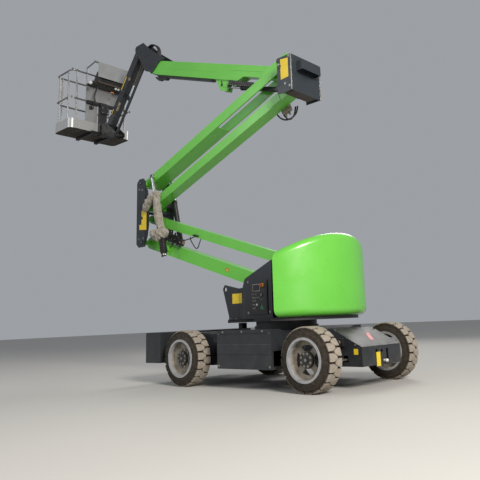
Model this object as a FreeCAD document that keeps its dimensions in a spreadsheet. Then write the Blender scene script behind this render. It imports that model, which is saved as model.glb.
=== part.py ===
import FreeCAD, Part
import Sketcher
import math
import os
import re
from FreeCAD import Placement, Rotation, Vector

# Articulating boom lift: a four-wheeled chassis, a slewing turntable with a D-shaped
# counterweight hood, two pairs of parallel arms that fold in a Z, a telescopic main boom,
# a jib with a parallel link, and a railed work platform.
# Millimetres and degrees. +X is forward, +Y is the machine's left side, +Z is up.
# Everything is laid out from the slewing axis at x = 0, and the finished pieces are then moved
# so that the origin lies on the ground under the middle of the whole machine.

doc = FreeCAD.newDocument("BoomLift")
sheet = doc.addObject("Spreadsheet::Sheet", "Sizes")

# Driving sizes: name, value, what it is
sizeTable = [
    ("fitGap", 0.3, "running gap between pieces that move on each other"),
    ("machineReach", 9000, "longer than the machine, for cuts right through it"),
    ("armReach", 700, "wider than any pivot, for bores right through it"),
    ("pinRadius", 26, "pins of the big arms"),
    ("bossWall", 16, "metal round a pin's bore"),
    ("pinHead", 10, "pin's head beyond its plate"),
    ("bossGap", 3, "arm's boss from the plate beside it"),
    ("endBlock", 120, "solid ends of the arms"),
    ("tubeWall", 6, "wall of the arms' box tubes"),
    ("bulkhead", 12, "cross plates inside the boom"),
    # wheels
    ("wheelBase", 2100, "front axle to rear axle"),
    ("wheelTrack", 1620, "middle of the left tyre to middle of the right tyre"),
    ("tyreRadius", 355, "outside the tread lugs"),
    ("tyreWidth", 240, "bulge of the side walls"),
    ("treadWidth", 216, "width across the lugs"),
    ("beadHeight", 52, "widest part of the side wall above the seat"),
    ("shoulderHeight", 60, "side wall's top below the tread"),
    ("sideCurve", 8, "side wall drawn in at its top"),
    ("shoulderRound", 16, "cut shoulders of the tread"),
    ("lugDepth", 22, "height of a tread lug"),
    ("lugCount", 20, "lugs in each of the two rows of a tyre"),
    ("treadHalf", 43, "half length of a lug round the tyre"),
    ("treadTip", 16, "lug's inner end past the tyre's middle"),
    ("treadTipHalf", 17, "half length of a lug's inner end"),
    ("treadFlank", 42, "start of a lug's pointed end from the middle"),
    ("treadRoot", 12, "lug sunk in the tyre"),
    ("beadRadius", 222, "tyre seat on the rim"),
    ("rimLip", 18, "height of the rim's flange"),
    ("rimHalf", 131, "half of the rim's width over its flanges"),
    ("rimWall", 9, "thickness of the rim"),
    ("rimDishFront", 62, "disc set in from the rim's outer edge, driven wheels"),
    ("rimDishRear", 70, "disc set in from the rim's outer edge, steered wheels"),
    ("handHoleInner", 94, "hand holes' inner edge from the axle"),
    ("handHoleOuter", 160, "hand holes' outer edge from the axle"),
    ("spokeSlant", 26, "half of a spoke's width at 45 degrees, along each axis"),
    ("hubRadius", 88, "wheel hub"),
    ("hubInboard", 40, "hub inward from the tyre's middle"),
    ("hubProud", 26, "hub outward from the rim's disc"),
    ("housingRadius", 118, "drive housing inside a front wheel"),
    ("flangeRadius", 92, "flange on a rear spindle"),
    ("flangeAt", 75, "flange out from the kingpin"),
    ("hubCap", 52, "cap on the hub"),
    ("housingGap", 30, "axle beam's end from the rim"),
    ("yokeInset", 80, "axle beam's end in from the kingpin"),
    ("yokeMouth", 60, "open yoke in from the kingpin"),
    ("armHalf", 15, "steering arm, half width"),
    ("spindleRadius", 34, "stub that carries a wheel"),
    ("kingpinOffset", 212, "kingpin in from the tyre's middle"),
    ("kingpinRadius", 20, "steering pivot"),
    ("steerArm", 170, "kingpin to the tie rod's end"),
    ("steerHeight", 70, "half height of a steering knuckle"),
    ("knuckleRadius", 42, "steering knuckle's boss"),
    ("yokeThick", 24, "axle yoke above and below a knuckle"),
    ("yokeHalf", 42, "axle yoke, half of its length"),
    ("armThick", 22, "steering arm"),
    ("tieRadius", 13, "tie rod"),
    ("tieEye", 24, "tie rod's end"),
    ("tieEyeHeight", 34, "tie rod's end"),
    # chassis
    ("frameHalfWidth", 400, "chassis beam, half of its width"),
    ("frameTop", 665, "top of the chassis beam"),
    ("frameBottom", 250, "underside of the chassis beam"),
    ("frameFront", 1546, "front end of the beam"),
    ("frameRear", 1445, "rear end of the beam, behind the slewing axis"),
    ("slopeStart", 1050, "where the rear cover starts to slope down"),
    ("slopeEnd", 463, "height of the rear cover at its end"),
    ("steerWindow", 36, "half size of the window for the tie rod"),
    ("rearSlotSide", 110, "slots in the rear end off the middle"),
    ("rearSlotWidth", 44, "slots in the rear end"),
    ("rearSlotHeight", 150, "slots in the rear end"),
    ("hitchRadius", 22, "towing hole in the rear end"),
    ("hitchHeight", 400, "towing hole"),
    ("frameWall", 12, "plates of the chassis beam"),
    ("wingFront", 980, "boxes between the front wheels and the side covers, front end"),
    ("wingBack", 764, "rear end of these boxes"),
    ("wingSide", 600, "outer face of these boxes"),
    ("wingTop", 650, "top of these boxes"),
    ("axleHalf", 62, "axle beams, half of their section"),
    ("frontBoxLength", 324, "box across the front end"),
    ("frontBoxHalfWidth", 880, "box across the front end"),
    ("frontBoxBottom", 285, "box across the front end"),
    ("frontBoxTop", 688, "box across the front end"),
    ("sideBoxFront", 361, "side covers, front end"),
    ("sideBoxRear", 549, "side covers, rear end behind the slewing axis"),
    ("sideBoxOuter", 900, "side covers, outer face"),
    ("sideBoxBottom", 240, "side covers"),
    ("sideBoxTop", 690, "side covers"),
    ("sideBoxBrow", 750, "start of the top's slope towards the frame"),
    ("sideBoxNeck", 600, "end of the slope"),
    ("sideBoxShoulder", 640, "top beside the frame"),
    ("sideLip", 37, "folded lip along the cover's top edge"),
    ("sideLipProud", 8, "lip beyond the cover's face"),
    ("sideWindowTop", 447, "opening in the rear end"),
    ("sideWindowInset", 36, "opening from the sheet's edges"),
    ("coverWall", 6, "sheet of the covers and boxes"),
    # turntable
    ("ringRadius", 420, "slewing ring"),
    ("ringBore", 330, "slewing ring"),
    ("ringHeight", 60, "fixed half of the slewing ring"),
    ("deckBottom", 780, "turntable deck"),
    ("deckTop", 820, "turntable deck"),
    ("deckInset", 110, "deck's rim inside the hood"),
    ("deckHalfWidth", 300, "narrow front part of the deck"),
    ("deckFront", 806, "front end of the deck"),
    ("deckRadius", 440, "deck over the slewing ring"),
    ("spinRadius", 400, "turning half of the slewing ring"),
    ("cheekInner", 260, "turntable side plates, inner face"),
    ("cheekThick", 20, "turntable side plates"),
    ("cheekBack", 560, "side plates, rear edge"),
    ("cheekRearTop", 1500, "side plates, rear edge's top"),
    ("cheekCrown", 1640, "side plates, top"),
    ("cheekCrownBack", 450, "rear end of the top"),
    ("cheekCrownFront", 300, "front end of the top, behind the slewing axis"),
    ("cheekShoulder", 1348, "lower end of the sloping edge"),
    ("cheekShoulderAt", 388, "lower end of the sloping edge"),
    ("cheekNotch", 1235, "notch in the upper edge"),
    ("cheekNotchBack", 469, "notch, rear end"),
    ("cheekNotchFront", 605, "notch, front end"),
    ("cheekNose", 880, "nose's top"),
    ("cheekNoseTop", 1300, "nose's top"),
    ("cheekTip", 917, "foremost point"),
    ("cheekTipHeight", 1245, "foremost point"),
    ("cheekFront", 802, "front edge's foot"),
    ("cheekFoot", 863, "front edge's foot"),
    ("housingBack", 100, "control housing on the left plate, rear end behind the slewing axis"),
    ("housingFront", 600, "front end of its bevel"),
    ("housingBevelAt", 392, "start of its bevel"),
    ("housingOuter", 370, "its outer face"),
    ("panelBack", 26, "ground control panel, rear end behind the slewing axis"),
    ("panelFront", 278, "ground control panel, front end"),
    ("panelFoot", 874, "panel's lower edge"),
    ("panelFrontTop", 1250, "panel's sloping top, front end"),
    ("panelBackTop", 1306, "panel's sloping top, rear end"),
    ("panelThick", 14, "panel beyond the housing"),
    ("liftingHole", 30, "lifting hole in the nose, radius"),
    ("liftingHoleAt", 866, "lifting hole"),
    ("liftingHoleHeight", 1238, "lifting hole"),
    ("tailRadius", 1055, "swing of the hood's round back"),
    ("hoodFront", 590, "flat front of the hood behind the slewing axis"),
    ("hoodTop", 1880, "hood's top at its round back"),
    ("hoodFrontTop", 1600, "hood's top at its flat front"),
    ("hoodWall", 6, "shell of the hood"),
    ("hoodRound", 80, "rounding round the hood's top"),
    ("hoodFoot", 90, "rounding round the hood's foot"),
    ("hoodLip", 10, "flange inside the foot's rounding"),
    ("ballastTop", 1480, "counterweight block under the hood"),
    ("ballastGap", 30, "between counterweight and hood"),
    # lower pair of arms
    ("riserAngle", 18.15, "lower pair above the horizontal"),
    ("riserLength", 3294, "between the pins of the lower pair"),
    ("riserRootBack", 250, "lower pair's root pins behind the slewing axis"),
    ("riserRootHeight", 1110, "lower arm's root pin above the ground"),
    ("riserSpacing", 403, "lower link's pins above the lower arm's"),
    ("lowerArmDepth", 186, "box tube of the lower arm"),
    ("lowerArmWidth", 180, "box tube of the lower arm"),
    ("lowerLinkDepth", 138, "box tube of the lower link"),
    ("lowerLinkWidth", 140, "box tube of the lower link"),
    # middle knuckle
    ("midRise", 1010, "upper arm's pin above the lower arm's"),
    ("midSetForward", 50, "upper pair's pins in front of the lower pair's"),
    ("midPlateInner", 250, "middle knuckle's plates, inner face"),
    ("midPlateThick", 18, "middle knuckle's plates"),
    ("midPlateBack", 80, "plates behind the lower pins"),
    ("midPlateFront", 150, "plates in front of the lower pins"),
    ("midPlateBelow", 78, "plates below the lower pins"),
    ("midPlateAbove", 70, "plates above the top pins"),
    ("midPlateCorner", 60, "cut corners"),
    ("midTube", 22, "cross tube"),
    # upper pair of arms
    ("upperAngle", 20, "upper pair above the horizontal, rising to the rear"),
    ("upperLength", 3437, "between the pins of the upper pair"),
    ("upperSpacing", 400, "upper link's pins below the upper arm's"),
    ("upperArmDepth", 154, "box tube of the upper arm"),
    ("upperArmWidth", 280, "box tube of the upper arm"),
    ("upperArmFork", 1560, "slot through the upper arm from its rear pins"),
    ("upperArmTrough", 2080, "top of the upper arm open from its rear pins"),
    ("upperArmSlot", 230, "width of the slot"),
    ("armCheekLength", 430, "deeper side plates at the upper arm's rear end"),
    ("armCheekRise", 114, "their top above the pins' line"),
    ("armCheekSlant", 60, "their slanted front end"),
    ("upperLinkDepth", 140, "box tube of the upper link"),
    ("upperLinkWidth", 200, "box tube of the upper link"),
    # upper knuckle
    ("knuckleHalfWidth", 307, "outside of the side plates"),
    ("knucklePlate", 12, "plates of the upper knuckle"),
    ("knuckleFront", 18, "side plates in front of the arms' pins"),
    ("knuckleBack", 236, "back plate behind the arms' pins"),
    ("knuckleTopDrop", 20, "side plates' top below the upper arm's pin"),
    ("knuckleHeight", 520, "height of the side plates"),
    ("earInner", 146, "inner ears that hold the pins"),
    ("earThick", 20, "inner ears that hold the pins"),
    ("earTop", 62, "ears above the upper arm's pin"),
    ("earFront", 62, "ears in front of the pins"),
    ("earFoot", 470, "ears below the upper arm's pin"),
    ("stubReach", 113, "inner ends of the upper arm's stub pins"),
    ("trayBack", 110, "tray on the back plate"),
    ("trayHalfWidth", 195, "tray on the back plate"),
    ("trayTop", 106, "tray's top below the upper arm's pin"),
    ("trayBottom", 241, "tray's rim below the upper arm's pin"),
    # main boom
    ("boomAngle", 20.3, "main boom above the horizontal"),
    ("boomPivotBack", 30, "boom pivot behind the upper arm's pin"),
    ("boomPivotDrop", 150, "boom pivot below the upper arm's pin"),
    ("boomLength", 3224, "pivot to the front end along the top"),
    ("boomRise", 60, "top of the boom above its pivot"),
    ("boomDrop", 187, "underside of the boom below its pivot"),
    ("boomRearDrop", 117, "underside near the pivot"),
    ("boomRearEnd", 1060, "length of the shallow rear part"),
    ("boomTail", 70, "rounding round the boom's pivot"),
    ("boomTaper", 250, "end of the tapered tail"),
    ("boomNose", 143, "lower front corner ahead of the upper one"),
    ("boomNoseDrop", 173, "lower front corner"),
    ("boomSlant", 99, "start of the slanted front underside"),
    ("boomBossReach", 105, "boom's boss at its pivot"),
    ("lugFront", 1600, "cylinder lug along the boom"),
    ("lugBack", 1288, "cylinder lug along the boom"),
    ("lugFoot", 1430, "front of the lug's lower edge along the boom"),
    ("lugDrop", 354, "cylinder lug's underside"),
    ("lugThick", 16, "cylinder lug's plates"),
    ("lugEye", 20, "hole in the lug"),
    ("boomWidth", 160, "box tube of the main boom"),
    ("extensionReach", 3460, "pivot to the head's pin with the boom retracted"),
    ("extensionTail", 1085, "inner end of the sliding boom"),
    ("extensionDrop", 63, "sliding boom's middle line below the pivot line"),
    ("extensionDepth", 214, "box tube of the sliding boom"),
    ("extensionWidth", 128, "box tube of the sliding boom"),
    ("extensionNose", 86, "round nose of the sliding boom"),
    ("padLength", 120, "wear pads between the boom's tubes"),
    ("padInset", 110, "front wear pads in from the boom's upper front edge"),
    # jib head and jib
    ("headPlateInner", 86, "jib head's plates, inner face"),
    ("headPlateThick", 14, "jib head's plates"),
    ("headTail", 440, "plates' rear point behind the head's pin"),
    ("headTailRise", 13, "plates' rear point"),
    ("headNeck", 274, "rear underside"),
    ("headHeel", 71, "lowest point behind the pin"),
    ("headHeelDrop", 129, "lowest point"),
    ("headToe", 140, "lower front corner"),
    ("headToeDrop", 36, "lower front corner"),
    ("headChest", 283, "front edge"),
    ("headChestRise", 196, "front edge"),
    ("headLug", 60, "plates round the jib's root pin"),
    ("headCrown", 208, "top rear of the crown"),
    ("headBrow", 26, "upper edge behind the pin"),
    ("headBrowRise", 315, "upper edge"),
    ("headWebAt", -40, "cross plate of the head"),
    ("headWebRise", 200, "cross plate's lower edge"),
    ("headWebHeight", 90, "cross plate"),
    ("jibAngle", 51.5, "jib below the horizontal"),
    ("jibLength", 1590, "between the jib's pins"),
    ("jibRootForward", 393, "jib's root pin in front of the head's pin"),
    ("jibRootRise", 478, "jib's root pin above the head's pin"),
    ("linkSetBack", 270, "jib link's pins behind the jib's"),
    ("linkDrop", 220, "jib link's pins below the jib's"),
    ("jibDepth", 164, "box tube of the jib"),
    ("jibWidth", 110, "box tube of the jib"),
    ("linkRadius", 26, "tube of the jib link"),
    ("linkSide", 45, "jib link left of the middle plane"),
    ("jibEye", 34, "eyes of the jib link"),
    ("linkEyeHalf", 20, "eyes of the jib link, half width"),
    ("jibBossWall", 14, "metal round the jib's small bores"),
    ("smallPin", 20, "pins of the jib"),
    # platform
    ("rotatorForward", 185, "platform's turning axis in front of the jib's end pin"),
    ("rotatorRadius", 72, "platform's turning gear"),
    ("rotatorHeight", 190, "platform's turning gear"),
    ("rotatorCap", 24, "plates above and below the turning gear"),
    ("jibBracketBlock", 30, "block that joins the bracket's plates"),
    ("bracketLug", 60, "bracket's plates round their pins"),
    ("clampGap", 5, "post in front of the turning gear"),
    ("supportRise", 560, "platform's post above the jib's end pin"),
    ("supportDepth", 60, "beams that carry the platform"),
    ("supportHalfWidth", 340, "cross beam on the post"),
    ("floorBeamSide", 200, "beams under the floor off the middle"),
    ("floorBeamWidth", 60, "beams under the floor"),
    ("platformBack", 160, "platform's back side in front of the turning axis"),
    ("platformDepth", 600, "platform, back to front"),
    ("platformWidth", 1320, "platform, side to side"),
    ("floorThick", 36, "platform floor"),
    ("floorDrop", 38, "floor's underside below the jib's end pin"),
    ("toeHeight", 152, "toe board above the floor"),
    ("toeThick", 4, "toe board"),
    ("midRail", 566, "mid rail above the floor"),
    ("topRail", 1134, "top rail above the floor"),
    ("railRadius", 17, "tubes of the platform"),
    ("postRadius", 15, "posts of the platform"),
    ("railBend", 70, "bends of the rails"),
    ("postInset", 110, "posts of the platform from its corners, beyond the bends"),
    ("guardRadius", 13, "leaning tubes of the guard"),
    ("gateRadius", 14, "drop bar"),
    ("gateEyeInset", 3, "drop bar's eye inside the bar's sides"),
    ("gatePin", 8, "drop bar's hinge pin"),
    ("gateEye", 20, "drop bar's hinge eye"),
    ("consoleWidth", 560, "control console on the platform"),
    ("consoleDepth", 200, "control console on the platform"),
    ("consoleFoot", 905, "console's underside above the jib's end pin"),
    ("consoleTop", 1150, "console's top"),
    ("consoleBack", 80, "console's back behind the turning axis"),
    ("consoleShift", 80, "console right of the middle"),
    ("trayThick", 35, "tray under the console"),
    ("guardLeft", 320, "guard's left posts off the middle"),
    ("guardRight", 400, "guard's right posts off the middle"),
    ("guardPostTop", 1262, "guard's posts above the jib's end pin"),
    ("guardTop", 1304, "guard's cross tube"),
    ("guardBack", 105, "guard's cross tube behind the turning axis"),
    ("guardSheetFoot", 996, "guard sheet's lower edge"),
    ("guardSheetLeft", 260, "guard sheet's left edge"),
    ("sheetThick", 4, "platform's sheets"),
    ("panelSplit", 566, "lower edge of the wide part of the platform's back sheet"),
    ("panelSide", 90, "right edge of its narrow part"),
    # cylinders
    ("liftAlong", 2800, "lift cylinders' lower pin along the lower arm"),
    ("liftBack", 240, "lift cylinders' upper pin from the upper arm's front pin"),
    ("liftSide", 197, "lift cylinders off the middle plane"),
    ("liftBarrel", 44, "lift cylinder barrel, radius"),
    ("liftRod", 24, "lift cylinder rod, radius"),
    ("liftBarrelLength", 880, "lift cylinder barrel"),
    ("liftEyeHalf", 22, "lift cylinder's eyes, half width"),
    ("luffForward", 260, "luffing cylinder's lower pin in front of the upper arm's pin"),
    ("luffDrop", 315, "luffing cylinder's lower pin below the upper arm's pin"),
    ("luffAlong", 1353, "luffing cylinder's lug along the boom"),
    ("luffBelow", 280, "luffing cylinder's lug below the boom's pivot line"),
    ("luffBarrel", 38, "luffing cylinder barrel, radius"),
    ("luffRod", 20, "luffing cylinder rod, radius"),
    ("luffBarrelLength", 800, "luffing cylinder barrel"),
    ("luffEyeHalf", 40, "luffing cylinder's eyes, half width"),
    ("bracketTop", 96, "luffing bracket at the back plate above its pin"),
    ("bracketGap", 8, "luffing bracket over the upper link"),
    ("lugInner", 46, "boom lug's plates, inner face"),
    ("jibFootBack", 90, "jib cylinder's foot behind the jib's root pin"),
    ("jibFootDrop", 157, "jib cylinder's foot below the jib's root pin"),
    ("jibLugAlong", 900, "jib cylinder's lug along the jib"),
    ("jibLugDrop", 200, "jib cylinder's lug below the jib's middle line"),
    ("jibRamSide", 24, "jib cylinder right of the middle plane"),
    ("jibLugHalf", 34, "cylinder lug on the jib, half length"),
    ("jibLugThick", 10, "cylinder lug on the jib"),
    ("jibEyeHalf", 20, "jib cylinder's eyes, half width"),
    ("jibBarrel", 29, "jib cylinder barrel, radius"),
    ("jibRod", 15, "jib cylinder rod, radius"),
    ("jibBarrelLength", 560, "jib cylinder barrel"),
    ("glandLength", 46, "collar at a barrel's end"),
    ("glandStep", 4, "collar's step"),
    ("boreInset", 66, "inner end of a barrel's bore from its pin"),
    ("liftRetract", 205, "lift rods can go in from here"),
    ("luffRetract", 80, "luffing rod can go in from here"),
    ("jibRetract", 40, "jib rod can go in from here"),
]

for row, (alias, amount, note) in enumerate(sizeTable, 1):
    sheet.set("A%d" % row, alias)
    sheet.set("B%d" % row, str(amount))
    sheet.setAlias("B%d" % row, alias)
    sheet.set("C%d" % row, note)
doc.recompute()


def value(text):
    # number that an expression on the sheet's names gives
    return float(sheet.evalExpression(text))


def bind(item, prop, text):
    # ties a property to the sheet; names of sizes have four letters or more
    item.setExpression(prop, re.sub(r"[a-z][A-Za-z]{3,}", r"Sizes.\g<0>", text))


def polar(start, length, angle):
    # point at a distance from start, angle above +X in the XZ plane
    turn = math.radians(angle)
    return start + Vector(length * math.cos(turn), 0, length * math.sin(turn))


def pitch(start, angle):
    # placement of a piece drawn along +X that rises by angle from start
    return Placement(start, Rotation(Vector(0, 1, 0), -angle))


# Pins of the linkage in the XZ plane, worked out from the driving sizes
riserAngle = value("riserAngle")
upperAngle = value("upperAngle")
boomAngle = value("boomAngle")
jibAngle = value("jibAngle")
riserRoot = Vector(-value("riserRootBack"), 0, value("riserRootHeight"))
linkRoot = riserRoot + Vector(0, 0, value("riserSpacing"))
riserTip = polar(riserRoot, value("riserLength"), riserAngle)
linkTip = riserTip + Vector(0, 0, value("riserSpacing"))
upperFront = riserTip + Vector(value("midSetForward"), 0, value("midRise"))
upperLinkFront = upperFront - Vector(0, 0, value("upperSpacing"))
upperRear = polar(upperFront, value("upperLength"), 180 - upperAngle)
upperLinkRear = upperRear - Vector(0, 0, value("upperSpacing"))
boomPivot = upperRear - Vector(value("boomPivotBack"), 0, value("boomPivotDrop"))
headPin = polar(polar(boomPivot, value("extensionReach"), boomAngle),
                value("extensionDrop"), boomAngle - 90)
jibRoot = headPin + Vector(value("jibRootForward"), 0, value("jibRootRise"))
linkOffset = Vector(-value("linkSetBack"), 0, -value("linkDrop"))
jibTip = polar(jibRoot, value("jibLength"), -jibAngle)
rotator = jibTip + Vector(value("rotatorForward"), 0, 0)
platformBack = rotator.x + value("platformBack")
floorTop = jibTip.z - value("floorDrop") + value("floorThick")
liftFoot = polar(riserRoot, value("liftAlong"), riserAngle)
liftHead = polar(upperFront, value("liftBack"), 180 - upperAngle)
luffFoot = upperRear + Vector(value("luffForward"), 0, -value("luffDrop"))
luffHead = polar(polar(boomPivot, value("luffAlong"), boomAngle),
                 value("luffBelow"), boomAngle - 90)
jibFoot = jibRoot - Vector(value("jibFootBack"), 0, value("jibFootDrop"))
jibHead = polar(polar(jibRoot, value("jibLugAlong"), -jibAngle),
                value("jibLugDrop"), -jibAngle - 90)

# Lengths that follow from the pins, so that the cylinders can be bound to them
for row, (alias, amount) in enumerate((("liftLine", (liftHead - liftFoot).Length),
                                       ("luffLine", (luffHead - luffFoot).Length),
                                       ("jibLine", (jibHead - jibFoot).Length)), len(sizeTable) + 1):
    sheet.set("A%d" % row, alias)
    sheet.set("B%d" % row, "%.6f" % amount)
    sheet.setAlias("B%d" % row, alias)
doc.recompute()

# The middle of the whole machine, ahead of the slewing axis
machineMiddle = (platformBack + value("platformDepth") - value("frameRear")) / 2

pieces = []


def piece(item, node, place=Placement()):
    # names a finished sub-part and puts it where it belongs on the machine
    item.Label = node
    item.Placement = place
    pieces.append(item)
    return item


def box(name, corner, size):
    item = doc.addObject("Part::Box", name)
    for prop, text in zip(("Length", "Width", "Height"), size):
        bind(item, prop, text)
    for prop, text in zip(("x", "y", "z"), corner):
        bind(item, "Placement.Base." + prop, text)
    return item


def rod(name, start, radius, length, direction=Vector(0, 0, 1)):
    item = doc.addObject("Part::Cylinder", name)
    bind(item, "Radius", radius)
    bind(item, "Height", length)
    item.Placement = Placement(Vector(), Rotation(Vector(0, 0, 1), direction))
    for prop, text in zip(("x", "y", "z"), start):
        bind(item, "Placement.Base." + prop, text)
    return item


def crossRod(name, x, z, radius, halfWidth):
    # round bar along Y, centred on the middle plane
    return rod(name, (x, "-(%s)" % halfWidth, z), radius, "2 * (%s)" % halfWidth, Vector(0, 1, 0))


def join(name, items):
    result = doc.addObject("Part::MultiFuse", name)
    result.Shapes = items
    result.Refine = True
    return result


def cut(name, base, tools):
    tool = tools[0] if len(tools) == 1 else join(name + "Tools", tools)
    result = doc.addObject("Part::Cut", name)
    result.Base = base
    result.Tool = tool
    result.Refine = True
    return result


def originPlane(body, role):
    return next(plane for plane in body.Origin.OriginFeatures if plane.Role == role)


def outline(body, name, role, corners):
    # closed sketch through corners given as expressions on the sheet
    sketch = body.newObject("Sketcher::SketchObject", name)
    sketch.AttachmentSupport = (originPlane(body, role), [""])
    sketch.MapMode = "FlatFace"
    points = [Vector(value(x), value(y), 0) for x, y in corners]
    count = len(points)
    for index in range(count):
        sketch.addGeometry(Part.LineSegment(points[index], points[(index + 1) % count]), False)
    for index in range(count):
        sketch.addConstraint(Sketcher.Constraint("Coincident", index, 2, (index + 1) % count, 1))
    for index, texts in enumerate(corners):
        for kind, text, amount in zip(("DistanceX", "DistanceY"), texts, points[index]):
            number = sketch.addConstraint(Sketcher.Constraint(kind, -1, 1, index, 1, amount))
            bind(sketch, "Constraints[%d]" % number, text)
    return sketch


def slab(name, corners, width, role="XZ_Plane"):
    # outline padded evenly to both sides of its plane
    body = doc.addObject("PartDesign::Body", name)
    pad = body.newObject("PartDesign::Pad", name + "Pad")
    pad.Profile = outline(body, name + "Sketch", role, corners)
    pad.SideType = "Symmetric"
    bind(pad, "Length", width)
    return body


def spun(name, corners):
    # outline in the XZ plane turned round the Z axis
    body = doc.addObject("PartDesign::Body", name)
    turned = body.newObject("PartDesign::Revolution", name + "Turn")
    turned.Profile = outline(body, name + "Sketch", "XZ_Plane", corners)
    turned.ReferenceAxis = (originPlane(body, "Z_Axis"), [""])
    turned.Angle = 360
    return body


def pair(name, corners, inner, thick):
    # two like plates, one each side of the middle plane
    whole = slab(name + "Whole", corners, "2 * (%s + %s)" % (inner, thick))
    reach = "2 * machineReach"
    gap = box(name + "Gap", ("-machineReach", "-(%s)" % inner, "-machineReach"),
              (reach, "2 * (%s)" % inner, reach))
    return cut(name, whole, [gap])


def strut(name, length, depth, width, bosses, closedEnd="endBlock"):
    # parts of a box-section arm along +X from its first pin: what is solid and what is cut
    bore = "pinRadius + fitGap"
    half = "(%s) / 2" % depth
    side = "(%s) / 2" % width
    solid = [box(name + "Tube", ("0", "-" + side, "-" + half), (length, width, depth)),
             crossRod(name + "Tail", "0", "0", half, side),
             crossRod(name + "Nose", length, "0", half, side),
             crossRod(name + "TailBoss", "0", "0", "pinRadius + bossWall", bosses[0]),
             crossRod(name + "NoseBoss", length, "0", "pinRadius + bossWall", bosses[1])]
    empty = [box(name + "Inside", ("endBlock", "tubeWall - " + side, "tubeWall - " + half),
                 ("%s - endBlock - %s" % (length, closedEnd), "%s - 2 * tubeWall" % width,
                  "%s - 2 * tubeWall" % depth)),
             crossRod(name + "TailBore", "0", "0", bore, "armReach"),
             crossRod(name + "NoseBore", length, "0", bore, "armReach")]
    return solid, empty


def ram(name, barrel, shaft, length, reach, eye, sides):
    # hydraulic cylinders drawn along +X from the barrels' pin; eye holds radius, half width, bore
    cases, stems = [], []
    start = "boreInset + %sRetract" % name
    for index, side in enumerate(sides):
        tag = "%s%d" % (name, index)
        along = Vector(1, 0, 0)
        across = Vector(0, 1, 0)
        shell = join(tag + "Shell", [
            rod(tag + "Case", ("0", side, "0"), barrel, length, along),
            rod(tag + "Gland", ("%s - glandLength" % length, side, "0"), "%s + glandStep" % barrel,
                "glandLength", along),
            rod(tag + "Foot", ("0", "%s - %s" % (side, eye[1]), "0"), eye[0], "2 * " + eye[1], across)])
        cases.append(cut(tag + "Barrel", shell, [
            rod(tag + "Hollow", ("boreInset", side, "0"), "%s + fitGap" % shaft, length, along),
            rod(tag + "FootBore", ("0", "%s - armReach" % side, "0"), eye[2], "2 * armReach", across)]))
        stem = join(tag + "Stem", [
            rod(tag + "Shaft", (start, side, "0"), shaft, "%s - (%s)" % (reach, start), along),
            rod(tag + "Head", (reach, "%s - %s" % (side, eye[1]), "0"), eye[0], "2 * " + eye[1], across)])
        stems.append(cut(tag + "Rod", stem, [
            rod(tag + "HeadBore", (reach, "%s - armReach" % side, "0"), eye[2], "2 * armReach", across)]))
    return cases, stems


def together(name, items):
    # like pieces of one body that don't touch, kept in one node
    if len(items) == 1:
        return items[0]
    group = doc.addObject("Part::Compound", name)
    group.Links = items
    return group


# Chassis

def chassisBeam():
    shell = slab("beamOuter", [("frameFront", "frameBottom"), ("frameFront", "frameTop"),
                               ("-slopeStart", "frameTop"), ("-frameRear", "slopeEnd"),
                               ("-frameRear", "frameBottom")], "2 * frameHalfWidth")
    inside = slab("beamInner", [
        ("frameFront - frameWall", "frameBottom + frameWall"),
        ("frameFront - frameWall", "frameTop - frameWall"),
        ("-slopeStart", "frameTop - frameWall"), ("frameWall - frameRear", "slopeEnd - frameWall"),
        ("frameWall - frameRear", "frameBottom + frameWall")], "2 * (frameHalfWidth - frameWall)")
    windows = [box("axleWindow" + end, ("%swheelBase / 2 - axleHalf" % sign, "-armReach",
                                        "tyreRadius - axleHalf"),
                   ("2 * axleHalf", "2 * armReach", "2 * axleHalf"))
               for end, sign in (("Front", ""), ("Rear", "-"))]
    tie = box("tieWindow", ("-wheelBase / 2 - steerArm - steerWindow", "-armReach",
                            "tyreRadius - steerHeight + armThick - 10"),
              ("2 * steerWindow", "2 * armReach", "2 * steerWindow"))
    slots = [box("rearSlot%d" % side, ("-frameRear - 1", "%d * rearSlotSide - rearSlotWidth / 2" % side,
                                       "frameBottom + 2 * frameWall"),
                 ("frameWall + 2", "rearSlotWidth", "rearSlotHeight")) for side in (-1, 1)]
    hitch = rod("hitchHole", ("-frameRear - 1", "0", "hitchHeight"), "hitchRadius", "frameWall + 2",
                Vector(1, 0, 0))
    wings = [hollowBox("wing%d" % index, ("wingBack", y, "frameBottom"),
                       ("wingFront - wingBack", "wingSide - frameHalfWidth", "wingTop - frameBottom"),
                       "frameWall") for index, y in enumerate(("frameHalfWidth", "-wingSide"))]
    beam = cut("beam", shell, [inside] + windows + [tie] + slots + [hitch])
    return piece(join("beamWinged", [beam] + wings), "chassis_beam")


def hollowBox(name, corner, size, wall):
    inner = ["%s + %s" % (text, wall) for text in corner]
    room = ["%s - 2 * %s" % (text, wall) for text in size]
    return cut(name, box(name + "Outer", corner, size), [box(name + "Inner", inner, room)])


def frontBox():
    return piece(hollowBox("frontBox", ("frameFront", "-frontBoxHalfWidth", "frontBoxBottom"),
                           ("frontBoxLength", "2 * frontBoxHalfWidth",
                            "frontBoxTop - frontBoxBottom"), "frameWall"), "front_box")


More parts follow.
